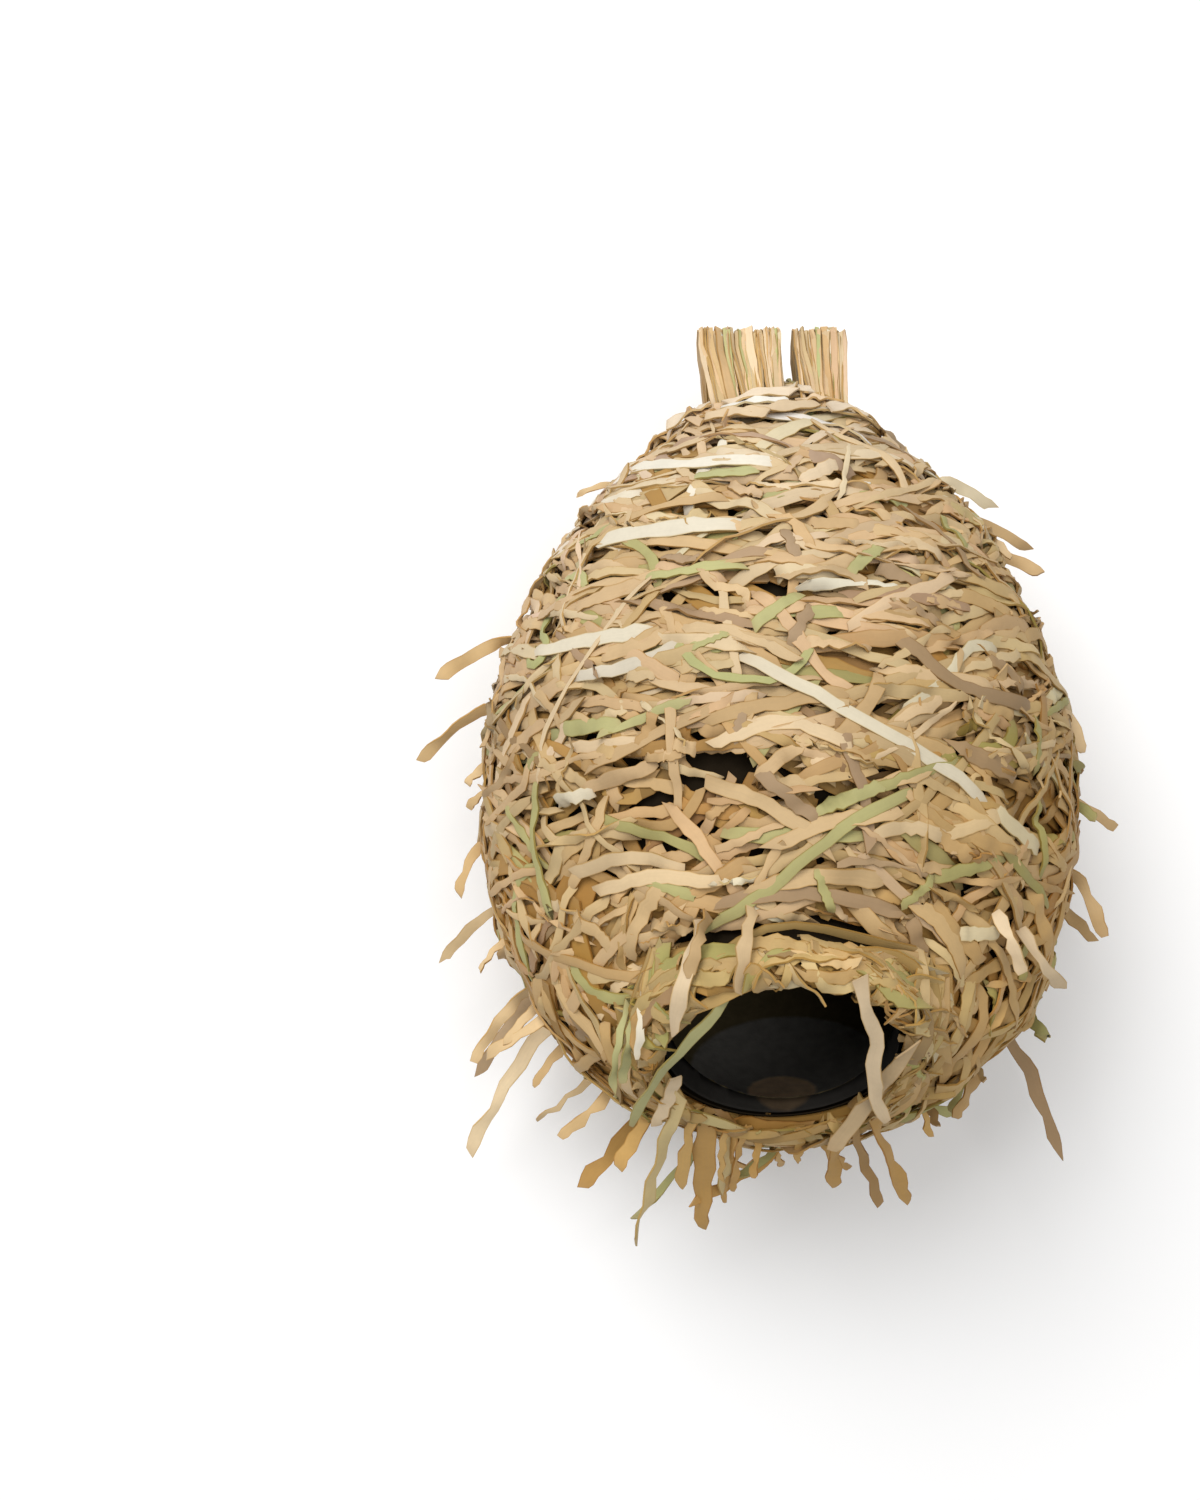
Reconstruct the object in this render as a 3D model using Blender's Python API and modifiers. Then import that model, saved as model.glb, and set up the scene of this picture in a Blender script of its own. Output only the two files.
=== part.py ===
"""Empty hanging nest of a weaver bird, woven from dry grass and palm strips.

Each piece is modelled in the nest's own standing frame: +Z up along the nest's axis from its widest section,
-Y to the front, where the entrance is, and +X to the right. The empty "laid_on_its_back" then lays the nest
down, so that its front looks up, its hanging loops point along +Y and its back rests on the surface at z = 0.
"""

import math

import bmesh
import bpy
from mathutils import Vector

MM = 0.001
GAP = 0.3 * MM

# The egg-shaped chamber, measured from its widest section.
BODY_RADIUS = 68 * MM
CROWN_HEIGHT = 98 * MM
BELLY_DEPTH = 80 * MM
CROWN_POWERS = (1.93, 1.5)
BELLY_POWERS = (2.4, 2.0)
CAVITY_RADIUS = 61 * MM
CAVITY_CROWN = 87 * MM
CAVITY_BELLY = 73 * MM
RINGS_ABOVE = 13
RINGS_BELOW = 10
EGG_STEPS = 36
SETTLED = 5 * MM  # how far the back has settled flat under the nest's own weight
AXIS_HEIGHT = BODY_RADIUS - SETTLED

# The entrance collar, a short tube that points down and forward.
COLLAR_CENTRE = Vector((-3, -53, -52.4)) * MM
COLLAR_PITCH = math.radians(46.3)  # from straight forward towards straight down
COLLAR_BORE = 23 * MM
COLLAR_OUTSIDE = 29.7 * MM
COLLAR_LENGTH = 36 * MM
LIP_STEPS = 4
COLLAR_STEPS = 40

# The hanging loops, bent over a twig that ran along X.
TWIG_HEIGHT = 104.7 * MM
LOOP_RADIUS = 4.5 * MM  # of a strand's middle where it went over the twig
LOOP_THICKNESS = 1.2 * MM
LOOP_FOOT_HEIGHT = 89 * MM
LOOP_STEPS = 10
KNEE_DROP = 0.6 * MM  # how far a strand's leg sags in towards the nest's axis
LOOPS = {"left": (-18.3 * MM, 1.0 * MM, 5), "right": (3.4 * MM, 16.2 * MM, 3)}
STRAND_GAP = 0.4 * MM

# Loose straws. Each is: where it leaves the wall as degrees round from the front to the right and millimetres
# of height, then its tip as millimetres right, to the back and up, then its width and how far it bows.
STRAW_THICKNESS = 0.5 * MM
STRAW_STEPS = 5
STRAW_COLOUR = (0.60, 0.45, 0.27)
GREEN_STRAW = (0.42, 0.42, 0.17)
STRAWS = {
    "left_crown": (-92, 70, (-50, -4, 69), 2.2, 1),
    "left_upper_long": (-90, 35, (-78, -4, 28), 2.4, 2),
    "left_shoulder": (-90, 20, (-83, 6, 9), 2.6, -2),
    "left_middle": (-84, 6, (-77, -11, 0), 1.8, 1),
    "left_middle_back": (-97, 0, (-76, 14, -6), 1.8, -1),
    "left_waist": (-87, -10, (-77, -12, -22), 2.4, 2),
    "left_lower_back": (-94, -24, (-78, 9, -38), 2.2, -2),
    "left_lower_front": (-80, -30, (-70, -17, -41), 2.4, 1),
    "left_belly_long": (-91, -43, (-71, -2, -62), 2.2, 2),
    "left_belly_dark": (-101, -45, (-70, 17, -66), 2.0, -3),
    "left_belly_front": (-76, -45, (-62, -20, -56), 2.2, 2),
    "left_zigzag": (-111, -50, (-73, 28, -87), 2.6, 5),
    "left_under_front": (-82, -55, (-57, -8, -67), 2.2, 1),
    "left_under_back": (-99, -60, (-56, 16, -78), 2.6, -2),
    "left_under": (-72, -63, (-50, -12, -78), 2.4, 2),
    "bottom_orange": (-110, -66, (-45, 24, -93), 3.0, 3),
    "bottom_green": (-88, -73, (-33, 3, -99), 2.6, 2),
    "bottom_white_long": (-140, -72, (-33, 22, -101), 2.6, 4),
    "bottom_wide_tan": (-128, -76, (-17, 12, -100), 4.2, -2),
    "bottom_white_thin": (-150, -77, (-12, 15, -92), 1.8, 2),
    "bottom_brown": (160, -78, (2, 13, -93), 2.2, 2),
    "bottom_thin_back": (175, -70, (-4, 36, -84), 1.8, -1),
    "bottom_right": (130, -77, (13, 8, -90), 2.2, 1),
    "bottom_right_long": (110, -76, (25, 5, -97), 2.2, 2),
    "bottom_right_brown": (100, -73, (34, 14, -97), 2.4, 3),
    "right_under": (76, -66, (39, -13, -77), 2.4, 1),
    "right_under_green": (96, -62, (49, 9, -73), 2.2, 1),
    "right_grey_long": (98, -51, (71, 22, -87), 3.0, 3),
    "right_belly_green": (84, -46, (61, -15, -56), 2.4, 1),
    "right_waist_tan": (87, -16, (75, -8, -31), 3.0, 1),
    "right_waist_back": (96, -24, (77, 14, -36), 2.4, -1),
    "right_shoulder": (94, 2, (81, 10, -7), 2.4, -1),
    "right_shoulder_green": (82, 4, (76, -13, -5), 2.2, 1),
    "right_upper": (90, 22, (72, -4, 11), 2.2, 1),
    "right_crown": (90, 54, (60, -6, 52), 2.0, 1),
    "right_crown_long": (98, 62, (61, 12, 58), 1.8, -1),
    "right_crown_tip": (86, 70, (51, 4, 68), 1.8, 1),
}


def clear_scene():
    for old in list(bpy.data.objects):
        bpy.data.objects.remove(old, do_unlink=True)


def collection(name):
    made = bpy.data.collections.new(name)
    bpy.context.scene.collection.children.link(made)
    return made


def material(name, colour, roughness):
    made = bpy.data.materials.new(name)
    made.use_nodes = True
    made.diffuse_color = (*colour, 1)
    shader = made.node_tree.nodes["Principled BSDF"]
    shader.inputs["Base Color"].default_value = (*colour, 1)
    shader.inputs["Roughness"].default_value = roughness
    shader.inputs["Metallic"].default_value = 0.0
    return made


def egg_radius(height, radius, crown, belly):
    """Radius of an egg at a height over its widest section: a superellipse above it and another below."""
    reach, (along, across) = (crown, CROWN_POWERS) if height > 0 else (belly, BELLY_POWERS)
    share = min(abs(height) / reach, 1.0)
    return radius * (1 - share**along) ** (1 / across)


def egg_profile(radius, crown, belly):
    """The egg's outline from crown to belly at +X. Rings close up towards both poles."""
    above = [crown * math.cos(math.pi / 2 * i / RINGS_ABOVE) for i in range(RINGS_ABOVE)]
    below = [-belly * math.sin(math.pi / 2 * i / RINGS_BELOW) for i in range(RINGS_BELOW + 1)]
    return [(egg_radius(z, radius, crown, belly), z) for z in above + below]


def turned(name, profile, steps):
    """A profile of (radius, height) points turned about Z, with any end on the axis closed to a pole."""
    mesh = bpy.data.meshes.new(name)
    bm = bmesh.new()
    points = [bm.verts.new((radius, 0, height)) for radius, height in profile]
    for first, second in zip(points, points[1:]):
        bm.edges.new((first, second))
    bm.to_mesh(mesh)
    bm.free()
    piece = bpy.data.objects.new(name, mesh)
    screw = piece.modifiers.new("turn", "SCREW")
    screw.steps = steps
    screw.render_steps = steps
    screw.use_merge_vertices = True
    screw.merge_threshold = 0.01 * MM
    screw.use_smooth_shade = True
    return piece


def cut(piece, cutter):
    boolean = piece.modifiers.new("cut_" + cutter.name, "BOOLEAN")
    boolean.object = cutter
    boolean.solver = "EXACT"


def as_cutter(piece):
    piece.hide_render = True
    piece.display_type = "WIRE"
    return piece


def aim_at_entrance(piece):
    """Turns a piece modelled about Z so that its +Z points out of the entrance."""
    piece.rotation_euler = (math.pi / 2 + COLLAR_PITCH, 0, 0)
    piece.location = COLLAR_CENTRE


def cutters():
    """The hollow of the nest, the hole for the collar and the surface that the back has settled on."""
    hollow = turned("hollow", egg_profile(CAVITY_RADIUS, CAVITY_CROWN, CAVITY_BELLY), EGG_STEPS)

    mesh = bpy.data.meshes.new("entrance_hole")
    bm = bmesh.new()
    hole_radius = COLLAR_OUTSIDE + GAP
    bmesh.ops.create_cone(
        bm, cap_ends=True, segments=COLLAR_STEPS, radius1=hole_radius, radius2=hole_radius, depth=2 * COLLAR_LENGTH
    )
    bm.to_mesh(mesh)
    bm.free()
    entrance_hole = bpy.data.objects.new("entrance_hole", mesh)
    aim_at_entrance(entrance_hole)

    mesh = bpy.data.meshes.new("surface")
    bm = bmesh.new()
    bmesh.ops.create_cube(bm, size=4 * BODY_RADIUS)
    bm.to_mesh(mesh)
    bm.free()
    surface = bpy.data.objects.new("surface", mesh)
    surface.location = (0, AXIS_HEIGHT + 2 * BODY_RADIUS, 0)
    return [as_cutter(piece) for piece in (hollow, entrance_hole, surface)]


def chamber_wall(hollow, entrance_hole, surface):
    wall = turned("chamber_wall", egg_profile(BODY_RADIUS, CROWN_HEIGHT, BELLY_DEPTH), EGG_STEPS)
    for cutter in (hollow, entrance_hole, surface):
        cut(wall, cutter)
    return wall


def entrance_collar(hollow):
    """A tube with a rounded lip, cut off inside where the hollow begins."""
    half_wall = (COLLAR_OUTSIDE - COLLAR_BORE) / 2
    middle = COLLAR_BORE + half_wall
    turns = [math.pi * i / LIP_STEPS for i in range(LIP_STEPS + 1)]
    lip = [(middle - half_wall * math.cos(a), half_wall * (math.sin(a) - 1)) for a in turns]
    profile = lip + [(COLLAR_OUTSIDE, -COLLAR_LENGTH), (COLLAR_BORE, -COLLAR_LENGTH), lip[0]]
    collar = turned("entrance_collar", profile, COLLAR_STEPS)
    aim_at_entrance(collar)
    cut(collar, hollow)
    return collar


def strip(name, path, across, width, thickness):
    """A flat strip of this width along a path of points, each edge of it lying along across."""
    mesh = bpy.data.meshes.new(name)
    bm = bmesh.new()
    half = across.normalized() * width / 2
    front = bm.edges.new([bm.verts.new(path[0] - half), bm.verts.new(path[0] + half)])
    for start, end in zip(path, path[1:]):
        moved = bmesh.ops.extrude_edge_only(bm, edges=[front])["geom"]
        bmesh.ops.translate(bm, verts=[v for v in moved if isinstance(v, bmesh.types.BMVert)], vec=end - start)
        front = next(edge for edge in moved if isinstance(edge, bmesh.types.BMEdge) and len(edge.link_faces) == 1
                     and all(v in moved for v in edge.verts))
    bmesh.ops.recalc_face_normals(bm, faces=bm.faces)
    bm.to_mesh(mesh)
    bm.free()
    piece = bpy.data.objects.new(name, mesh)
    solid = piece.modifiers.new("thickness", "SOLIDIFY")
    solid.thickness = thickness
    solid.offset = 0
    return piece


def on_wall(angle, height):
    """The point on the outside of the wall at this angle round from the front, and the way out of it there."""
    radius = egg_radius(height, BODY_RADIUS, CROWN_HEIGHT, BELLY_DEPTH)
    nearby = egg_radius(height + MM, BODY_RADIUS, CROWN_HEIGHT, BELLY_DEPTH)
    outward = Vector((math.sin(angle), -math.cos(angle), 0))
    along = outward * (nearby - radius) + Vector((0, 0, MM))
    normal = (outward - along * outward.dot(along) / along.length_squared).normalized()
    return outward * radius + Vector((0, 0, height)), normal


def loop_path(x, width):
    """A strand's middle line: off the front of the neck, over the twig and down to the back of the neck."""
    neck = egg_radius(LOOP_FOOT_HEIGHT, BODY_RADIUS, CROWN_HEIGHT, BELLY_DEPTH)
    inner_edge = max(abs(x) - width / 2, 0)
    root = Vector((x, -math.sqrt(neck**2 - inner_edge**2) - LOOP_THICKNESS, LOOP_FOOT_HEIGHT))
    turns = [math.pi * i / LOOP_STEPS for i in range(LOOP_STEPS + 1)]
    bend = [Vector((x, -LOOP_RADIUS * math.cos(a), TWIG_HEIGHT + LOOP_RADIUS * math.sin(a))) for a in turns]
    knee = root.lerp(bend[0], 0.6) + Vector((0, KNEE_DROP, 0))
    front = [root, knee]
    back = [Vector((x, -point.y, point.z)) for point in reversed(front)]
    return front + bend + back


def hanging_loops():
    strands = []
    for side, (left, right, count) in LOOPS.items():
        pitch = (right - left) / count
        width = pitch - STRAND_GAP
        for i in range(count):
            path = loop_path(left + pitch * (i + 0.5), width)
            strands.append(strip(f"loop_{side}_strand_{i + 1}", path, Vector((1, 0, 0)), width, LOOP_THICKNESS))
    return strands


def straw(name, angle, height, tip, width, bow):
    """A loose straw: straight out of the wall for a moment, then bowed along to its tip."""
    foot, normal = on_wall(math.radians(angle), height * MM)
    tip = Vector(tip) * MM
    start = foot + normal * 1.2 * MM
    across = (tip - start).cross(normal).normalized()
    lift = across.cross(tip - start).normalized()
    if lift.dot(normal) < 0:
        lift = -lift
    path = [foot + normal * (GAP + 0.1 * MM)]
    for i in range(STRAW_STEPS + 1):
        share = i / STRAW_STEPS
        path.append(start.lerp(tip, share) + lift * bow * MM * math.sin(math.pi * share))
    return strip("straw_" + name, path, across, width * MM, STRAW_THICKNESS)


def build():
    clear_scene()
    nest = collection("empty_bird_nest")
    helpers = collection("cutters")
    pose = bpy.data.objects.new("laid_on_its_back", None)
    nest.objects.link(pose)

    woven = material("woven_strips", (0.55, 0.42, 0.26), 0.75)
    coiled = material("coiled_strips", (0.50, 0.38, 0.23), 0.75)
    strands = material("loop_strands", (0.42, 0.31, 0.18), 0.8)
    dry = material("dry_straw", STRAW_COLOUR, 0.7)
    green = material("green_straw", GREEN_STRAW, 0.7)

    tools = cutters()
    hollow = tools[0]
    finishes = [(chamber_wall(*tools), woven), (entrance_collar(hollow), coiled)]
    finishes += [(strand, strands) for strand in hanging_loops()]
    for name, facts in STRAWS.items():
        finishes.append((straw(name, *facts), green if "green" in name else dry))

    for piece, finish in finishes:
        piece.data.materials.append(finish)
        nest.objects.link(piece)
        piece.parent = pose
    for tool in tools:
        helpers.objects.link(tool)
        tool.parent = pose

    pose.rotation_euler = (-math.pi / 2, 0, 0)
    pose.location = (0, 0, AXIS_HEIGHT)


build()
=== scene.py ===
"""The looks of an empty weaver's nest that lies on its back: every strip of the weave, the coiled collar,
the strands of the hanging loops and the loose straws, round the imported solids."""

import math

import bmesh
import bpy
import numpy as np
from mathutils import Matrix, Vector


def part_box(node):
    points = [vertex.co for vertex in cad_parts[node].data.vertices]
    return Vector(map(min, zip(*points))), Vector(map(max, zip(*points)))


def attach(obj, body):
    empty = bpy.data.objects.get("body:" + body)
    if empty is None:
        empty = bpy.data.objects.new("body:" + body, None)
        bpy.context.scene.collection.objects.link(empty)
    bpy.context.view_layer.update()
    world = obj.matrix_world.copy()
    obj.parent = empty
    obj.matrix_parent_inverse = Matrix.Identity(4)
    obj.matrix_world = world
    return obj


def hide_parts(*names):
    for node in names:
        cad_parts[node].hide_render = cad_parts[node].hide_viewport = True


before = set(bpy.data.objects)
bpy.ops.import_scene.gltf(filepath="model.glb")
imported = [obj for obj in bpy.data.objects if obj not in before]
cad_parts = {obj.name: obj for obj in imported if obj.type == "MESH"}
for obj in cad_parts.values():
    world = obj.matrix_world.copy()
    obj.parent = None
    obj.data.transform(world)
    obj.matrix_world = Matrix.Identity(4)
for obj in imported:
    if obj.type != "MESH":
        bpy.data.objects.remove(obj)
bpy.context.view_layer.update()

MM = 0.001
rng = np.random.default_rng(20)

# The wall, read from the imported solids.
wall_low, wall_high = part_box("chamber_wall")
BODY_RADIUS = (wall_high[0] - wall_low[0]) / 2
CROWN_HEIGHT = wall_high[1]
BELLY_DEPTH = -wall_low[1]
AXIS_HEIGHT = wall_high[2] - BODY_RADIUS
CROWN_POWERS = (1.93, 1.5)
BELLY_POWERS = (2.4, 2.0)

# The entrance collar points down the nest and forward.
COLLAR_PITCH = math.radians(46.3)
COLLAR_AXIS = Vector((0, -math.sin(COLLAR_PITCH), math.cos(COLLAR_PITCH)))
COLLAR_CENTRE = Vector((-3, -52.4, AXIS_HEIGHT / MM + 53)) * MM
COLLAR_BORE = 23 * MM
COLLAR_OUTSIDE = 29.7 * MM
WAY_IN_BACK = -45 * MM  # how far along the collar's axis the wall is kept open
TUBE_BACK = -34 * MM  # where the collar's dark tube starts
TUBE_LIP = -3.4 * MM  # and where it ends, just inside the lip

# A strip's mesh: points along it and across it.
ALONG = 15
ACROSS = 3
STRIP_THICKNESS = 0.45 * MM
SPRING = 0.22 * MM  # of air left between crossing strips
RIDGE = 0.2 * MM  # how much a strip's middle stands above its edges
FLOOR_AIR = 0.5 * MM
FLOOR_SOFTNESS = 1.1 * MM

# Colours of dried and half-dried leaf strips, linear.
STRAW = (0.50, 0.36, 0.20)
CREAM = (0.57, 0.44, 0.28)
WHITE = (0.61, 0.55, 0.43)
TAN = (0.46, 0.31, 0.15)
GREY_BROWN = (0.32, 0.22, 0.13)
GREEN = (0.375, 0.355, 0.16)
PEACH = (0.53, 0.37, 0.205)
KINDS = (STRAW, CREAM, WHITE, TAN, GREY_BROWN, GREEN, PEACH)
NAMES = ("straw", "cream", "white", "tan", "grey", "green", "peach")
COLOURS = dict(zip(NAMES, KINDS))

# Small holes in the weave at the front: across and up from the nest's middle, then half their width and half
# their height.
GAPS = (
    (-16.5, 9.2, 6.3, 2.1), (-12.0, 5.0, 2.8, 2.4), (-32.9, 8.7, 3.0, 1.9), (-29.9, 1.0, 3.4, 1.5),
    (-3.0, 7.4, 2.7, 2.2), (5.8, 2.3, 4.9, 1.9),
    (-40.7, 13.6, 3.3, 0.9), (-35.5, 25.3, 1.9, 0.8), (6.8, 29.6, 2.4, 1.0), (-6.5, 44.3, 3.3, 1.5),
    (-48.3, 37.3, 1.7, 1.1), (-39.7, 60.8, 2.2, 1.0), (11.6, 26.7, 2.0, 1.0), (28.1, 13.6, 2.4, 1.1),
    (41.7, 7.5, 2.5, 1.1), (18.1, -27.7, 1.6, 2.0), (23.8, -31.1, 2.0, 2.0), (-40.8, 33.6, 1.7, 0.9),
    (8.8, -19.4, 2.0, 0.8), (27.0, -15.7, 2.0, 1.1), (16.3, 7.6, 2.0, 0.9),
    (-2.0, -26.2, 19.5, 3.5), (-13.5, -27.4, 8.5, 3.2), (9.0, -27.2, 8.5, 3.2),
)

# Strips that stand out from the weave of the front: colour, width, and the places they pass over.
MARKED = (
    ("green", 2.2, ((32.8, 64.7), (37.6, 55.6))),
    ("green", 2.6, ((10.7, 49.7), (17.6, 55.4))),
    ("green", 2.6, ((-21.4, 72), (-6.6, 73.1))),
    ("green", 3.2, ((-49.2, 16.2), (-36.3, 17.3))),
    ("green", 2.4, ((-22.8, 33), (-14, 36.4))),
    ("green", 2.2, ((-32.4, 49.5), (-22.1, 50.2), (-10.9, 51.2))),
    ("green", 2.6, ((51.7, 19), (50.4, 7))),
    ("green", 2.2, ((52, 1.1), (54.1, -17.1))),
    ("green", 2.6, ((-9.9, 37.6), (0.1, 45.3))),
    ("green", 3.0, ((50.9, -27.7), (49.6, -38.7))),
    ("green", 2.6, ((-47.1, -32.7), (-42.9, -39.4), (-31.5, -41))),
    ("green", 2.4, ((-32.7, -14.9), (-20.7, -18.6))),
    ("cream", 2.6, ((1.7, 71.1), (9.6, 74.9))),
    ("grey", 2.8, ((17.3, 52), (25.6, 46.5))),
    ("grey", 2.2, ((21.1, 43.3), (29, 38.4))),
    ("grey", 2.6, ((-28.2, 54.1), (-20, 52.8))),
    ("grey", 2.6, ((-2.4, 33.8), (2.4, 42.2))),
    ("grey", 2.4, ((-13.8, 12.6), (-11.7, 21.6))),
    ("grey", 3.6, ((30.3, 12.6), (44.6, 6))),
    ("grey", 2.8, ((38.7, 31.2), (44.2, 28.8), (48.5, 24.3))),
    ("grey", 3.0, ((22.6, -23.8), (26.5, -35.4))),
    ("tan", 2.6, ((-59, -29.1), (-49.3, -32.6), (-33.4, -35.9), (-25.7, -33.9))),
    ("tan", 2.6, ((-53.9, -40.8), (-48.3, -53), (-41.7, -57.7))),
    ("tan", 3.0, ((-20.6, 17.6), (-4.7, 21.6), (9.4, 23.7))),
    ("tan", 3.0, ((23, -2.9), (34.2, -11))),
    ("tan", 3.0, ((32.8, -5.7), (44.9, -10.8))),
    ("straw", 3.2, ((-20.7, 5.6), (-8.9, 1.6), (5.1, -8.3))),
    ("straw", 3.2, ((-6.9, -8.3), (5, -2.8), (19.4, -0.8))),
    ("cream", 3.2, ((-18.7, 12.6), (-2.8, 17.6), (9.2, 12.6))),
    ("cream", 3.0, ((13.2, -5.4), (21.5, -4.1), (29, -6.2))),
    ("cream", 3.0, ((28.8, -5.8), (34.6, -3.9), (42.4, -0.4))),
    ("cream", 3.0, ((-46.6, -14.7), (-34.9, -11), (-23.9, -13))),
    ("cream", 3.0, ((-43.1, -18.9), (-30.6, -14.8), (-16.3, -15.1))),
    ("straw", 3.0, ((-27.4, -15.5), (-33.2, -25.6), (-35, -32.3))),
    ("straw", 2.8, ((-46.2, -23.5), (-37.1, -30.5))),
    ("grey", 3.2, ((19.8, 35.7), (30.8, 25.9), (50.2, 20.9))),
    ("grey", 2.8, ((-9.8, 8), (-3.9, 2.6), (3, -2.7))),
    ("grey", 3.0, ((-20.3, -21), (-10.8, -18.4), (1.1, -18), (20.7, -21.9))),
    ("straw", 3.4, ((-11.8, -17.2), (3.1, -14.3), (17.4, -15.5))),
    ("green", 2.8, ((2, -0.8), (16.3, 5))),
    ("green", 2.0, ((26.3, -14.3), (20.2, -21))),
    ("green", 2.8, ((41.7, -10.7), (33.6, -13.3), (26.5, -14.7))),
    ("green", 2.0, ((2.5, -12.7), (5.8, -22))),
    ("green", 2.6, ((23.6, 4), (11.1, -1.4), (2.1, -8.7), (-6.8, -16.4), (-13.7, -21.5),
                    (-19.6, -25.1))),
    ("tan", 2.8, ((27.3, -20.4), (33.4, -28), (39, -33.7))),
    ("straw", 3.4, ((23.2, -20.3), (28.8, -25), (34.3, -35.1))),
    ("straw", 3.6, ((11.3, -21.3), (19.9, -30.5), (24.7, -36.2), (31.5, -45.5))),
    ("green", 2.2, ((-54, 6.3), (-55.3, -7.6), (-53.1, -17), (-50.3, -25.4))),
    ("white", 3.2, ((-34, 76), (-19.1, 75.6), (-2.3, 74.7))),
    ("white", 3.6, ((-41.9, 57.9), (-26, 59.9), (-10.5, 60.7))),
    ("white", 3.2, ((-55, 33.4), (-40.8, 35.5), (-28.4, 36.7))),
    ("white", 2.6, ((-52.4, 0.4), (-42.9, 2.9))),
    ("white", 3.0, ((32.4, -26.9), (42.9, -27.1))),
    ("white", 3.6, ((38.1, 0.7), (44.6, -5), (52.1, -9.9))),
    ("white", 3.0, ((-12.5, 31.8), (11.3, 18), (38.1, 1.4))),
    ("cream", 1.2, ((-30.3, 49.3), (-40.8, 34.7), (-49.2, 22.2), (-52.5, 13.7), (-53.5, 5.2))),
)

# Broad strips wound over the feet of the hanging loops: colour, width, and the places they pass over.
NECK_WRAPS = (
    ("cream", 4.0, ((-25, 84.6), (-20.5, 86.6), (-15.6, 89.0))),
    ("cream", 3.2, ((-12.2, 88.0), (-5.5, 90.6), (2.4, 90.4))),
    ("white", 3.0, ((-13.4, 87.0), (-6, 88.4), (0.8, 88.0))),
    ("straw", 2.6, ((-8, 85.8), (-1, 86.4), (7, 87.4))),
    ("cream", 3.0, ((0.4, 91.2), (3.4, 92.8), (6.2, 90.4))),
    ("peach", 2.6, ((3.5, 88.2), (8.5, 89.4), (13, 88.6))),
    ("cream", 3.0, ((9.5, 86.4), (14.6, 87.6), (18.4, 85.4))),
    ("straw", 2.8, ((-17, 84.8), (-10.5, 85.6), (-4, 84.6))),
)

# Strips that hang over the collar: colour, width, and points across, up and forward of the nest's middle.
OVERHANGING = (
    ("tan", 2.6, ((-18.9, -21.5, 63.5), (-21.5, -27.0, 70), (-23.3, -33.5, 71))),
    ("straw", 2.8, ((-10.3, -19.8, 66), (-12.5, -27.3, 75), (-13.7, -36.2, 74))),
    ("cream", 3.0, ((-20.2, -22.4, 63.5), (-24.5, -34.6, 70.5), (-26, -46.0, 63))),
    ("white", 1.8, ((-31.7, -38.0, 54.5), (-32.5, -44.3, 58.5), (-33.3, -51.6, 57))),
    ("green", 2.8, ((-32.8, -41.6, 52), (-34.7, -49.2, 54.5), (-36.3, -57.5, 50))),
    ("green", 1.6, ((-35.0, -40.7, 50.5), (-37.2, -50.4, 51.5), (-38.1, -59.7, 47))),
    ("green", 2.4, ((-14.0, -35.2, 67.0), (-18.2, -42.0, 66.0), (-23.3, -48.4, 60.5), (-29.6, -58, 50),
                    (-34.4, -68.3, 39.3))),
    ("cream", 3.2, ((10.0, -33.0, 75.5), (11.2, -39.4, 71.9), (14.0, -44.5, 67.6), (14.4, -51.1, 61.7),
                    (15.6, -58.8, 54.7), (19.0, -66.0, 48.0))),
    ("straw", 3.2, ((21.5, -49.1, 61.5), (16.8, -58.9, 51.3), (8.9, -74.4, 35))),
    ("cream", 2.8, ((-25, -56.6, 50.1), (-26.5, -62.1, 44.3), (-29, -68.6, 37.5))),
    ("cream", 2.6, ((40.8, -21.7, 52.5), (43.1, -26.2, 54), (46.5, -34.6, 52))),
    ("cream", 2.6, ((47.4, -25.8, 45.5), (51.1, -32, 47), (57.6, -39.1, 40))),
)

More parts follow.
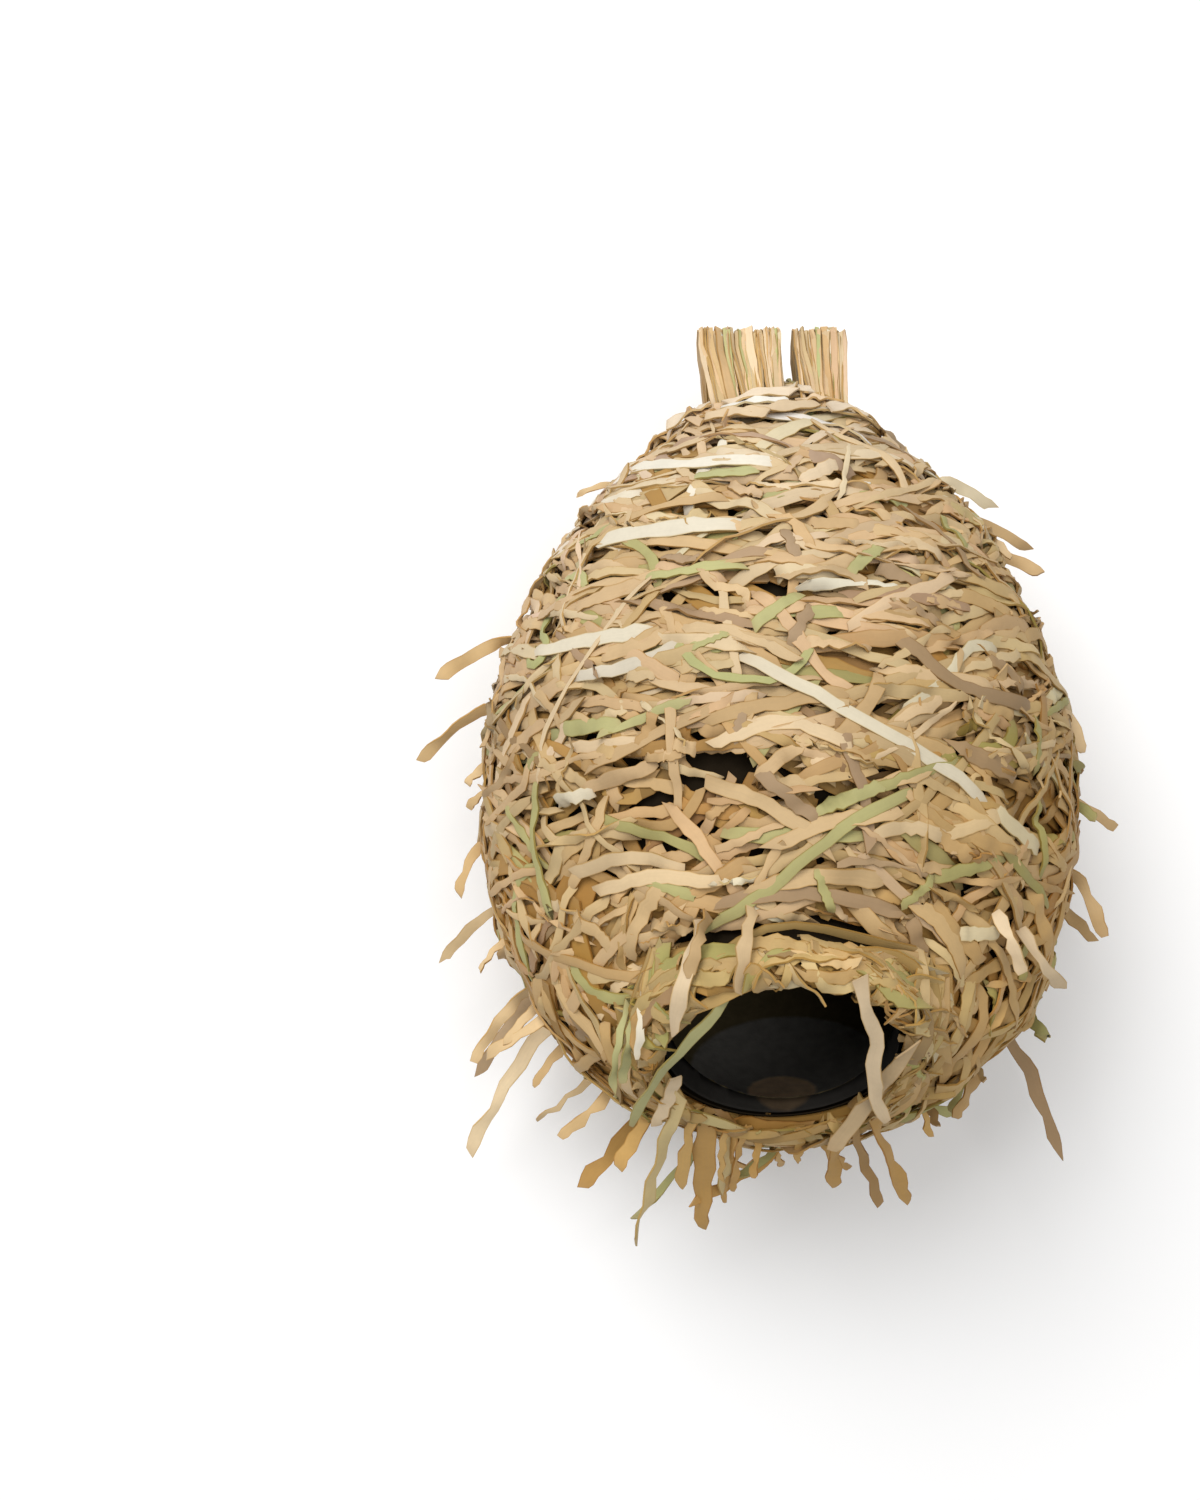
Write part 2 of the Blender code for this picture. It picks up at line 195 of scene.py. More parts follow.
# Loose straws: colour, width, where each leaves the wall as an angle round from the front to the right and a
# height, or where it leaves the collar as a point and None, then its tip, and how far it zigzags. Points are
# across, up and forward of the nest's middle.
LOOSE = {
    "left": (
        ("straw", 1.4, -90, 70, (-46, 70, 6), 0.2), ("tan", 3.0, -90, 35, (-78, 28, 4), 0.25),
        ("tan", 3.0, -90, 20, (-83, 9, -6), 0.2), ("straw", 2.0, -86, 8, (-71, 4, 10), 0.3),
        ("tan", 1.8, -93, 2, (-72, -2, -10), 0.3), ("tan", 2.4, -87, -10, (-73, -21, 12), 0.4),
        ("straw", 2.8, -93, -25, (-78, -38, -8), 0.25), ("straw", 1.6, -84, -31, (-68, -38, 14), 0.3),
        ("straw", 3.0, -90, -43, (-70, -60, 4), 0.3), ("grey", 2.8, -98, -45, (-70, -66, -16), 0.45),
        ("straw", 2.2, -79, -45, (-62, -54, 18), 0.3), ("cream", 2.8, -105, -50, (-73, -87, -28), 0.75),
        ("tan", 2.2, -85, -54, (-56, -65, 8), 0.3), ("straw", 1.8, -97, -61, (-56, -77, -16), 0.6),
        ("tan", 2.8, -78, -63, (-50, -77, 6), 0.3), ("straw", 2.4, -76, -47, (-66, -56, 20), 0.3),
    ),
    "bottom": (
        ("tan", 3.2, -105, -68, (-45, -90, -2), 0.6), ("straw", 3.0, -66, -67, (-37, -81, 20), 0.4),
        ("white", 2.8, (-24, -62, 44), None, (-33, -101, 5), 0.75),
        ("straw", 2.4, (-21, -66, 38), None, (-23, -86, 18), 0.4),
        ("tan", 4.2, (-18, -69, 34), None, (-17.5, -98, 5), 0.35),
        ("straw", 1.4, (-14, -70, 34), None, (-14, -84, 20), 0.5),
        ("white", 2.4, (-13, -70, 33), None, (-13, -88, 12), 0.3),
        ("tan", 1.8, (-12, -71, 33), None, (-12.6, -92, 5), 0.4),
        ("tan", 2.0, (-10, -71, 33), None, (-11, -88, 12), 0.4),
        ("tan", 2.8, (10, -69, 35), None, (12, -87, 12), 0.35),
        ("grey", 2.2, (13, -68, 36), None, (23, -92, 8), 0.5),
        ("tan", 3.0, (17, -66, 38), None, (29.5, -91.5, 8), 0.5),
        ("straw", 1.6, (30, -62, 22), None, (33, -75, 16), 0.4), ("tan", 2.2, -50, -76, (-20, -90, 14), 0.4),
        ("straw", 1.6, (3, -71, 30), None, (3, -80, 20), 0.4),
        ("tan", 1.8, (-6, -71, 30), None, (-7, -83, 22), 0.4),
        ("straw", 1.6, 150, -78, (3, -88, -18), 0.4), ("tan", 1.8, -160, -76, (-9, -90, -26), 0.5),
        ("straw", 2.0, 175, -70, (-4, -84, -36), 0.4), ("tan", 2.0, 120, -74, (20, -90, -24), 0.5),
    ),
    "right": (
        ("tan", 2.8, 80, -59, (39, -71, 14), 0.4), ("straw", 2.0, 90, -58, (47, -64, 6), 0.3),
        ("grey", 2.8, 96, -51, (71, -87, -22), 0.7), ("straw", 3.0, 87, -16, (74, -31, 8), 0.3),
        ("tan", 2.8, 95, -24, (77, -34, -14), 0.25), ("straw", 2.6, 93, 0, (81, -7, -10), 0.25),
        ("cream", 3.0, 90, 22, (70, 11, 4), 0.25), ("straw", 2.8, 90, 54, (60, 52, 6), 0.12),
        ("straw", 2.6, 97, 62, (61, 59, -12), 0.12), ("cream", 2.0, 83, 59, (52, 55, 12), 0.25),
        ("white", 2.4, 90, 70, (51, 68, -4), 0.2), ("tan", 2.0, 76, 65, (43, 63, 14), 0.2),
        ("tan", 2.2, 88, -66, (36, -74, 8), 0.4),
    ),
    "green": (
        ("green", 2.8, -94, -73, (-33, -98, -6), 0.6), ("green", 2.4, 101, -67, (44, -74, -12), 0.35),
        ("green", 3.0, 84, -46, (59, -53, 16), 0.25), ("green", 2.2, 85, 0, (71, -4, 12), 0.2),
        ("green", 2.4, 92, -60, (40, -72, 2), 0.3), ("green", 1.8, -48, -76, (-13, -86, 10), 0.4),
    ),
}
STRAW_TINTS = {"left": (1.26, 1.28, 1.26), "bottom": (1.0, 0.86, 0.52), "right": (1.0, 0.95, 0.84),
               "green": (1.0, 1.0, 0.9)}
DARK_LINING = (0.155, 0.146, 0.132)
# Near-black sheets painted as the deep shade in the wall's thickness and in the collar.
SHADE = (0.016, 0.0115, 0.007)
COLLAR_SHADE = (0.0185, 0.017, 0.015)
# Patches in the dark, painted light and shade: the place from the nest's middle, the radius, the tint within
# and the tint beyond. The first is painted shade over all of the chamber's inside but its floor; the others
# are a painted pool of light on the floor and where it runs on to the collar's tube.
PAINTED_SHADE_PAST_FLOOR = ((4.6, -68.9, -22.0), 23.8, (1.0, 1.0, 1.0), (0.62, 0.52, 0.30))
# A painted pool of light on the chamber's floor below the entrance, and its run on to the collar's tube.
FLOOR_PAINTED_LIGHT = ((2.8, -70.6, -16.0), 8.4, (2.8, 2.1, 1.45), (1.0, 1.0, 1.0))
COLLAR_PAINTED_LIGHT = ((-1.0, -61.5, 28.0), 7.2, (2.8, 2.1, 1.45), (1.0, 1.0, 1.0))

# Painted light by height: paler and lighter towards the crown, where the light falls from above, and darker
# and more golden towards the belly; and painted shade on the far right side, which faces away from the light.
TINT_HEIGHTS = (-80 * MM, -36 * MM, 8 * MM, 53 * MM, 97 * MM)
HEIGHT_PAINTED_LIGHT = ((0.90, 0.86, 0.63), (1.03, 0.98, 0.86), (0.93, 0.91, 0.86), (1.01, 1.01, 1.0), (1.15, 1.22, 1.40))
RIGHT_PAINTED_SHADE = (0.88, 0.82, 0.64)
RIGHT_FROM = 10 * MM
RIGHT_FADE = 42 * MM
COLLAR_TINT = (0.89, 0.84, 0.62)
LIP_PAINTED_SHADE = (0.77, 0.72, 0.56)
PAINTED_CREVICE_GOLD = (1.0, 0.79, 0.40)  # painted shade of the weave's crevices, with warm bounced light: deeper strips darker and more golden
DRIED_TIP = (0.34, 0.22, 0.11, 1)
EDGE_PAINTED_SHADE = (0.80, 0.67, 0.42, 1)


# ---------------------------------------------------------------- surfaces to weave on

class TurnedSurface:
    """A surface turned about an axis. A place on it is an angle round the axis from the front and a length
    along the profile. It also keeps how high the strips already laid on it stand, in small cells.
    The heart is a point in the profile's plane that sees every part of the profile."""

    CELL = 0.7 * MM

    def __init__(self, profile, heart, origin, axis, front):
        points = np.array(profile)
        steps = np.hypot(*np.diff(points, axis=0).T)
        length = np.concatenate([[0], np.cumsum(steps)])
        self.length = length[-1]
        self.at = np.linspace(0, self.length, 600)
        self.radius = np.interp(self.at, length, points[:, 0])
        self.height = np.interp(self.at, length, points[:, 1])
        slope_r = np.gradient(self.radius, self.at)
        slope_h = np.gradient(self.height, self.at)
        size = np.hypot(slope_r, slope_h)
        self.out_r, self.out_h = slope_h / size, -slope_r / size
        self.heart = heart
        self.bearing = self.bearings(self.radius, self.height)
        self.origin = np.array(origin)
        self.axis = np.array(axis)
        self.front = np.array(front)
        self.right = np.cross(self.axis, self.front)
        rows = int(self.length / self.CELL) + 1
        row_radius = np.interp(np.linspace(0, self.length, rows), self.at, self.radius)
        self.row_cells = np.maximum(1, np.ceil(2 * math.pi * row_radius / self.CELL)).astype(int)
        self.row_start = np.concatenate([[0], np.cumsum(self.row_cells)])
        self.laid = np.zeros(self.row_start[-1])

    def bearings(self, radius, height):
        turn = np.arctan2(height - self.heart[1], radius - self.heart[0])
        return np.where(turn < -math.pi / 2 - 1e-6, turn + 2 * math.pi, turn)

    def locate(self, points):
        """(angle, length along the profile) of the nearest places to these points."""
        offset = points - self.origin
        height = offset @ self.axis
        ahead = offset @ self.front
        aside = offset @ self.right
        bearing = self.bearings(np.hypot(ahead, aside), height)
        return np.arctan2(aside, ahead), np.interp(bearing, self.bearing, self.at)

    def place(self, angle, along, lift=0.0):
        """(points, normals) at these places, lifted off the surface."""
        radius = np.interp(along, self.at, self.radius)
        height = np.interp(along, self.at, self.height)
        out_r = np.interp(along, self.at, self.out_r)
        out_h = np.interp(along, self.at, self.out_h)
        outward = np.sin(angle)[..., None] * self.right + np.cos(angle)[..., None] * self.front
        normal = outward * out_r[..., None] + self.axis * out_h[..., None]
        normal /= np.linalg.norm(normal, axis=-1, keepdims=True)
        point = self.origin + outward * radius[..., None] + self.axis * height[..., None]
        return point + normal * np.asarray(lift)[..., None], normal

    def snap(self, points):
        return self.place(*self.locate(points))

    def cells(self, points):
        angle, along = self.locate(points)
        row = np.clip((along / self.CELL).astype(int), 0, len(self.row_cells) - 1)
        turn = np.mod(angle / (2 * math.pi), 1.0)
        column = (turn * self.row_cells[row]).astype(int)
        return self.row_start[row] + np.minimum(column, self.row_cells[row] - 1)


def egg_radius(height, radius, crown, belly):
    reach, (power, root) = (crown, CROWN_POWERS) if height > 0 else (belly, BELLY_POWERS)
    share = min(abs(height) / reach, 1.0)
    return radius * (1 - share**power) ** (1 / root)


def egg_profile(inset):
    """The nest's outline from belly to crown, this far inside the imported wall's outside."""
    radius, crown, belly = BODY_RADIUS - inset, CROWN_HEIGHT - 1.5 * inset, BELLY_DEPTH - inset
    turns = np.linspace(-math.pi / 2, math.pi / 2, 90)
    heights = [crown * math.sin(t) if t > 0 else belly * math.sin(t) for t in turns]
    return [(egg_radius(h, radius, crown, belly), h) for h in heights]


def collar_profile():
    """The collar's outline under its strips: up its outside, over the lip and down into the bore."""
    outside, bore = COLLAR_OUTSIDE - 2.4 * MM, COLLAR_BORE + 3.0 * MM
    middle, half = (outside + bore) / 2, (outside - bore) / 2
    turns = np.linspace(0, math.pi, 13)
    lip = [(middle + half * math.cos(t), half * math.sin(t) - half - 2.0 * MM) for t in turns]
    return [(outside, -24 * MM)] + lip + [(bore, -13 * MM)]


# ---------------------------------------------------------------- strips laid on a surface

def wander(count, size, reach):
    """Smooth random values along each strip: count rows of ALONG, with this size and reach in steps."""
    knots = rng.normal(0, size, (count, ALONG + 2 * reach))
    window = np.hanning(2 * reach + 3)[1:-1]
    window /= math.sqrt((window**2).sum())
    return np.array([np.convolve(row, window, mode="valid") for row in knots])


def unit(vectors):
    return vectors / np.linalg.norm(vectors, axis=-1, keepdims=True)


def run_length(lines):
    return np.linalg.norm(np.diff(lines, axis=-2), axis=-1).sum(-1)


def resampled(line, at):
    """The places at these steps along a line, counted in its own points."""
    return np.stack([np.interp(at, np.arange(len(line)), column) for column in line.T], 1)


def run_lines(surface, starts, headings, lengths, bend):
    """Centre lines of strips that follow the surface as a flat strip does, from the middle outwards.
    headings are directions in space, and bend is how far each turns sideways over its length."""
    count = len(starts)
    middle = ALONG // 2
    lines = np.empty((count, ALONG, 3))
    start, _ = surface.snap(starts)
    lines[:, middle] = start
    step = (lengths / (ALONG - 1))[:, None]
    turning = np.cumsum(wander(count, 1.0, 3), axis=1) * (bend / ALONG)[:, None]
    for sign in (1, -1):
        point, along = start.copy(), headings * sign
        _, normal = surface.snap(point)
        for i in range(1, middle + 1):
            along = along - normal * (along * normal).sum(1, keepdims=True)
            side = np.cross(normal, along)
            along = unit(along + side * turning[:, middle + sign * i][:, None])
            point, normal = surface.snap(point + along * step)
            lines[:, middle + sign * i] = point
    return lines


def smooth_along(values, reach):
    """A running highest value, then a running mean, down the columns."""
    padded = np.pad(values, ((reach, reach), (0, 0)), mode="edge")
    highest = np.max([padded[i : i + len(values)] for i in range(2 * reach + 1)], axis=0)
    padded = np.pad(highest, ((reach, reach), (0, 0)), mode="edge")
    weights = np.hanning(2 * reach + 3)[1:-1]
    weights /= weights.sum()
    return sum(weights[i] * padded[i : i + len(values)] for i in range(2 * reach + 1))


def wavering(count, depth, taper):
    """How wide each strip is along its length, as a share: a slow waver and tapered ends."""
    waver = 1 + wander(count, 1.0, 1) * depth
    place = np.linspace(-1, 1, ALONG)
    ends = 1 - taper[:, None] * np.abs(place) ** 10
    return np.clip(waver * ends, 0.2, 1.35)


class Habit:
    """How a batch of strips behaves. Each pair is a range in millimetres: of width, of length, of how far the
    ends tuck in, and of how far the strip dives between its neighbours. twist and roll are how much its face
    turns along it and as a whole, twisted and loose the shares of strips that turn more and whose ends stand
    up, waver how uneven its width is, and bend how far it turns sideways."""

    def __init__(self, width, length, tuck=(0.4, 1.6), dive=(0.0, 0.9), twist=0.1, twisted=0.12, waver=0.1,
                 loose=0.04, bend=0.2, roll=0.13):
        self.width, self.length, self.tuck, self.dive = width, length, tuck, dive
        self.twist, self.twisted, self.waver = twist, twisted, waver
        self.loose, self.bend, self.roll = loose, bend, roll


# While a strip is laid it's felt out at four times as many places along it, and five across it.
FINER = 4
DENSE = FINER * (ALONG - 1) + 1
DENSE_AT = np.linspace(0, ALONG - 1, DENSE)
ACROSS_DENSE = np.linspace(-1, 1, 5)


class Weave:
    """Strips laid one after another on a surface, each resting on those under it or woven between them."""

    def __init__(self, surface, deepest):
        self.surface = surface
        self.deepest = deepest

    def lay(self, lines, habit):
        """Rows of points for each strip, as (count, ACROSS, ALONG, 3)."""
        surface, count = self.surface, len(lines)
        tangent = unit(np.gradient(lines, axis=1))
        _, normal = surface.snap(lines)
        side = unit(np.cross(normal, tangent))
        widths = rng.uniform(*habit.width, count) * MM
        half = widths[:, None] / 2 * wavering(count, habit.waver, rng.uniform(0.0, 0.5, count))
        strong = np.where(rng.random(count) < habit.twisted, 6.0, 1.0)
        turn = wander(count, 1.0, 2) * (habit.twist * strong)[:, None] + rng.normal(0, habit.roll, (count, 1))
        tuck = rng.uniform(*habit.tuck, (count, 2))
        tuck = np.where(rng.random((count, 2)) < habit.loose, -rng.uniform(0.5, 2.2, (count, 2)), tuck) * MM
        dive = rng.uniform(*habit.dive, count) * MM
        wave = rng.uniform(20, 45, count) * MM
        phase = rng.uniform(0, 2 * math.pi, count)
        lengths = run_length(lines)
        nudge = rng.normal(0, 0.16 * MM, (count, ALONG, 1)) * side
        uneven = 1 + rng.normal(0, 0.06, (2, count, ALONG))

        coarse = np.arange(ALONG)
        place = np.arange(DENSE) / (DENSE - 1)
        ramp = np.clip(1 - np.minimum(place, 1 - place) * 6, 0, 1) ** 1.5
        placed = np.empty((count, ACROSS, ALONG, 3))
        for k in range(count):
            line = resampled(lines[k], DENSE_AT)
            across = resampled(side[k], DENSE_AT)
            lean = np.interp(DENSE_AT, coarse, np.sin(turn[k]) * half[k])
            wide = np.interp(DENSE_AT, coarse, np.cos(turn[k]) * half[k])
            foot = line[:, None] + across[:, None] * (wide[:, None] * ACROSS_DENSE)[..., None]
            cells = surface.cells(foot)
            under = surface.laid[cells]
            middle = under.max(1) * 0.5 + under[:, 1:4].mean(1) * 0.5
            edges = np.stack([under[:, :2].max(1), middle, under[:, 3:].max(1)], 1)
            rest = smooth_along(edges, 5)
            rest = self.deepest * np.tanh(rest / self.deepest)
            rest += (0.35 * np.abs(lean) - np.where(place < 0.5, tuck[k, 0], tuck[k, 1]) * ramp)[:, None]
            swing = np.cos(2 * math.pi * place * lengths[k] / wave[k] + phase[k])
            rest -= dive[k] * (0.5 - 0.5 * swing)[:, None]
            rest = np.maximum(rest, -0.6 * MM) + np.stack([-lean, np.zeros(DENSE), lean], 1)
            top = np.stack([np.interp(ACROSS_DENSE, (-1, 0, 1), row) for row in rest])
            surface.laid[cells] = np.maximum(surface.laid[cells], top + STRIP_THICKNESS + SPRING)
            lift = rest[::FINER] + STRIP_THICKNESS + np.array((0, RIDGE, 0))
            for j, share in enumerate((-1, 0, 1)):
                reach = np.cos(turn[k]) * half[k] * share * (uneven[j // 2, k] if share else 1)
                placed[k, j] = (lines[k] + nudge[k] + side[k] * reach[:, None]
                                + normal[k] * lift[:, j][:, None])
        cut_ends(placed, rng.normal(0, 0.6, (count, 2)))
        return placed, lengths


def cut_ends(rows, skew):
    """Slants each strip's two cut ends."""
    for end, neighbour, column in ((0, 1, 0), (-1, -2, 1)):
        shift = (rows[:, 1, end] - rows[:, 1, neighbour]) * skew[:, column][:, None]
        rows[:, 0, end] += shift
        rows[:, 2, end] -= shift


def through(points, count):
    """This many evenly spaced places on a smooth curve through the given points."""
    points = np.array(points, float)
    steps = np.concatenate([[0], np.cumsum(np.linalg.norm(np.diff(points, axis=0), axis=1))])
    at = np.linspace(0, steps[-1], count)
    if len(points) == 2:
        return np.stack([np.interp(at, steps, column) for column in points.T], 1)
    slopes = np.gradient(points, steps, axis=0)
    curve = []
    for t in at:
        i = min(max(np.searchsorted(steps, t, side="right") - 1, 0), len(points) - 2)
        span = steps[i + 1] - steps[i]
        q = (t - steps[i]) / span
        curve.append(
            (2 * q**3 - 3 * q**2 + 1) * points[i] + (q**3 - 2 * q**2 + q) * span * slopes[i]
            + (3 * q**2 - 2 * q**3) * points[i + 1] + (q**3 - q**2) * span * slopes[i + 1]
        )
    return np.array(curve)


# ---------------------------------------------------------------- meshes

strips = {}


def keep(piece, rows, colours, lengths):
    """Stores laid strips under the piece that they will be part of."""
    kept = strips.setdefault(piece, {"rows": [], "colours": [], "lengths": []})
    kept["rows"].extend(rows)
    kept["colours"].extend(colours)
    kept["lengths"].extend(lengths)


def settle(points):
    """Presses whatever would reach below the surface flat on top of it, in the order that it lies."""
    z = points[..., 2] / FLOOR_SOFTNESS
    pressed = np.where(z > 20, z, np.log1p(np.exp(np.minimum(z, 20))))
    points[..., 2] = FLOOR_SOFTNESS * pressed + FLOOR_AIR
    return points


def stand_in(name, mesh, replaced):
    """Puts a finished mesh in the scene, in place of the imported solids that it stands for."""
    piece = bpy.data.objects.new(name, mesh)
    bpy.context.scene.collection.objects.link(piece)
    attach(piece, "root")
    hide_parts(*replaced)


def strip_mesh(name, material, replaced):
    """One mesh of all the strips kept under this name: a flat grid for each, bent to its rows, thickened."""
    kept = strips.pop(name)
    rows = settle(np.array(kept["rows"]))
    count = len(rows)
    bm = bmesh.new()
    for _ in range(count):
        bmesh.ops.create_grid(bm, x_segments=ALONG - 1, y_segments=ACROSS - 1, size=1)
    mesh = bpy.data.meshes.new(name)
    bm.to_mesh(mesh)
    bm.free()
    mesh.vertices.foreach_set("co", rows.reshape(-1).astype(np.float32))

    per_strip = ALONG * ACROSS
    colours = np.repeat(np.array(kept["colours"]), per_strip, axis=0)
    opaque = np.hstack([colours, np.ones((len(colours), 1))])
    layer = mesh.color_attributes.new("strip_colour", "FLOAT_COLOR", "POINT")
    layer.data.foreach_set("color", opaque.astype(np.float32).ravel())
    seeds = np.repeat(rng.uniform(0, 40, count), per_strip)
    share = np.tile(np.tile(np.linspace(0, 1, ALONG), ACROSS), count)
    along = seeds + share * np.repeat(kept["lengths"], per_strip)
    across = np.tile(np.repeat(np.linspace(-1, 1, ACROSS), ALONG), count)
    corner = np.empty(len(mesh.loops), np.int32)
    mesh.loops.foreach_get("vertex_index", corner)
    grain = mesh.uv_layers.new(name="strip_grain")
    grain.data.foreach_set("uv", np.stack([along, across], 1)[corner].astype(np.float32).ravel())
    tips = mesh.attributes.new("strip_tip", "FLOAT", "POINT")
    tips.data.foreach_set("value", (np.abs(share - 0.5) * 2).astype(np.float32))

    flat = bpy.data.objects.new(name + "_flat", mesh)
    bpy.context.scene.collection.objects.link(flat)
    wall = flat.modifiers.new("thickness", "SOLIDIFY")
    wall.thickness = STRIP_THICKNESS
    wall.offset = -1
    graph = bpy.context.evaluated_depsgraph_get()
    solid = bpy.data.meshes.new_from_object(flat.evaluated_get(graph))
    bpy.data.objects.remove(flat, do_unlink=True)
    solid.name = name
    solid.polygons.foreach_set("use_smooth", np.ones(len(solid.polygons), bool))
    solid.set_sharp_from_angle(angle=math.radians(50))
    solid.materials.clear()
    solid.materials.append(material)
    stand_in(name, solid, replaced)


# ---------------------------------------------------------------- materials

def new_group(name, inputs, outputs):
    group = bpy.data.node_groups.new(name, "ShaderNodeTree")
    for label, kind, value in inputs:
        socket = group.interface.new_socket(label, in_out="INPUT", socket_type=kind)
        if value is not None:
            socket.default_value = value
    for label, kind in outputs:
        group.interface.new_socket(label, in_out="OUTPUT", socket_type=kind)
    return group, group.nodes.new("NodeGroupInput"), group.nodes.new("NodeGroupOutput")


def node(tree, kind, **settings):
    made = tree.nodes.new(kind)
    for key, value in settings.items():
        if key in made.inputs:
            made.inputs[key].default_value = value
        else:
            setattr(made, key, value)
    return made


def maths(tree, operation, first, second=None, clamp=False):
    made = tree.nodes.new("ShaderNodeMath")
    made.operation = operation
    made.use_clamp = clamp
    for socket, value in zip(made.inputs, (first, second)):
        if isinstance(value, (int, float)):
            socket.default_value = value
        elif value is not None:
            tree.links.new(value, socket)
    return made.outputs[0]


def mix_colour(tree, blend, share, first, second):
    made = tree.nodes.new("ShaderNodeMix")
    made.data_type = "RGBA"
    made.blend_type = blend
    for socket, value in ((made.inputs[0], share), (made.inputs[6], first), (made.inputs[7], second)):
        if isinstance(value, (int, float, tuple)):
            socket.default_value = value
        else:
            tree.links.new(value, socket)
    return made.outputs[2]


def new_material(name, roughness, specular):
    """A material with what is the same all over it set on the shader: (material, its tree, the shader)."""
    made = bpy.data.materials.new(name)
    made.use_nodes = True
    shader = made.node_tree.nodes["Principled BSDF"]
    shader.inputs["Roughness"].default_value = roughness
    shader.inputs["Specular IOR Level"].default_value = specular
    return made, made.node_tree, shader


def raise_surface(tree, shader, height, strength, distance):
    raised = node(tree, "ShaderNodeBump", Strength=strength, Distance=distance)
    tree.links.new(height, raised.inputs["Height"])
    tree.links.new(raised.outputs["Normal"], shader.inputs["Normal"])


def leaf_grain():
    """Veins that run along a strip, blotches, browner tips, and a painted shadow line of darker gold along
    its edges and thin sides.
    """
    group, given, made = new_group(
        "leaf_grain",
        [("Colour", "NodeSocketColor", None), ("Veins", "NodeSocketFloat", 5.0),
         ("Depth", "NodeSocketFloat", 0.3)],
        [("Colour", "NodeSocketColor"), ("Roughness", "NodeSocketFloat"), ("Height", "NodeSocketFloat")],
    )
    link = group.links.new
    uv = node(group, "ShaderNodeUVMap", uv_map="strip_grain")
    parts = node(group, "ShaderNodeSeparateXYZ")
    link(uv.outputs[0], parts.inputs[0])
    lines = node(group, "ShaderNodeCombineXYZ")
    link(maths(group, "MULTIPLY", parts.outputs[0], 45.0), lines.inputs[0])
    link(maths(group, "MULTIPLY", parts.outputs[1], given.outputs["Veins"]), lines.inputs[1])
    veins = node(group, "ShaderNodeTexNoise", Scale=1.0, Detail=3.0, Roughness=0.6)
    link(lines.outputs[0], veins.inputs["Vector"])

    place = node(group, "ShaderNodeTexCoord")
    blotches = node(group, "ShaderNodeTexNoise", Scale=70.0, Detail=4.0, Roughness=0.6)
    link(place.outputs["Object"], blotches.inputs["Vector"])
    specks = node(group, "ShaderNodeTexNoise", Scale=900.0, Detail=2.0)
    link(place.outputs["Object"], specks.inputs["Vector"])

    tip = node(group, "ShaderNodeAttribute", attribute_name="strip_tip")
    dried = maths(group, "MULTIPLY", maths(group, "POWER", tip.outputs["Fac"], 8.0), 0.35)

    grain = maths(group, "SUBTRACT", veins.outputs["Fac"], 0.5)
    tone = maths(group, "MULTIPLY", grain, given.outputs["Depth"])
    patch = maths(group, "MULTIPLY", maths(group, "SUBTRACT", blotches.outputs["Fac"], 0.5), 0.36)
    speck = maths(group, "MULTIPLY", maths(group, "SUBTRACT", specks.outputs["Fac"], 0.5), 0.10)
    light = maths(group, "ADD", 1.0, maths(group, "ADD", tone, maths(group, "ADD", patch, speck)))
    shade = node(group, "ShaderNodeCombineColor")
    for socket in shade.inputs[:3]:
        link(light, socket)
    toned = mix_colour(group, "MULTIPLY", 1.0, given.outputs["Colour"], shade.outputs[0])
    browned = mix_colour(group, "MIX", dried, toned, DRIED_TIP)
    # Painted shade: a thin darker gold line along each edge and over the thin sides, for the shadow line
    # under a strip.
    edge = maths(group, "SUBTRACT", maths(group, "ABSOLUTE", parts.outputs[1]), 0.84)
    edge = maths(group, "MULTIPLY", edge, 1 / 0.16, clamp=True)
    link(mix_colour(group, "MULTIPLY", edge, browned, EDGE_PAINTED_SHADE), made.inputs["Colour"])
    dull = maths(group, "MULTIPLY", veins.outputs["Fac"], 0.3)
    link(maths(group, "ADD", 0.55, dull), made.inputs["Roughness"])
    pitted = maths(group, "MULTIPLY", specks.outputs["Fac"], 0.4)
    link(maths(group, "ADD", veins.outputs["Fac"], pitted), made.inputs["Height"])
    return group


def strip_material(name, grain, veins, depth, bump, roughness_lift=0.0):
    made, tree, shader = new_material(name, 0.7, 0.3)
    colour = node(tree, "ShaderNodeAttribute", attribute_name="strip_colour")
    effect = node(tree, "ShaderNodeGroup", node_tree=grain)
    effect.inputs["Veins"].default_value = veins
    effect.inputs["Depth"].default_value = depth
    tree.links.new(colour.outputs["Color"], effect.inputs["Colour"])
    tree.links.new(effect.outputs["Colour"], shader.inputs["Base Color"])
    rough = maths(tree, "ADD", effect.outputs["Roughness"], roughness_lift)
    tree.links.new(rough, shader.inputs["Roughness"])
    raise_surface(tree, shader, effect.outputs["Height"], bump, 0.12 * MM)
    return made


# ---------------------------------------------------------------- the chamber's weave

wall_surface = TurnedSurface(egg_profile(4.9 * MM), (0, 0), (0, 0, AXIS_HEIGHT), (0, 1, 0), (0, 0, 1))
wall_weave = Weave(wall_surface, 9 * MM)
MIDDLE = np.array((0, 0, AXIS_HEIGHT))
# The entrance again, as plain arrays: its middle, where it points and which way is up on its rim.
EYE = np.array(COLLAR_CENTRE)
EYE_AXIS = np.array(COLLAR_AXIS)
EYE_UP = np.array((0, math.cos(COLLAR_PITCH), math.sin(COLLAR_PITCH)))
FORWARD = np.array((0, 0, 1.0))
RIGHT = np.array((1.0, 0, 0))
WALL_PIECES = ("front_crown", "front_belly", "back_crown", "back_belly")


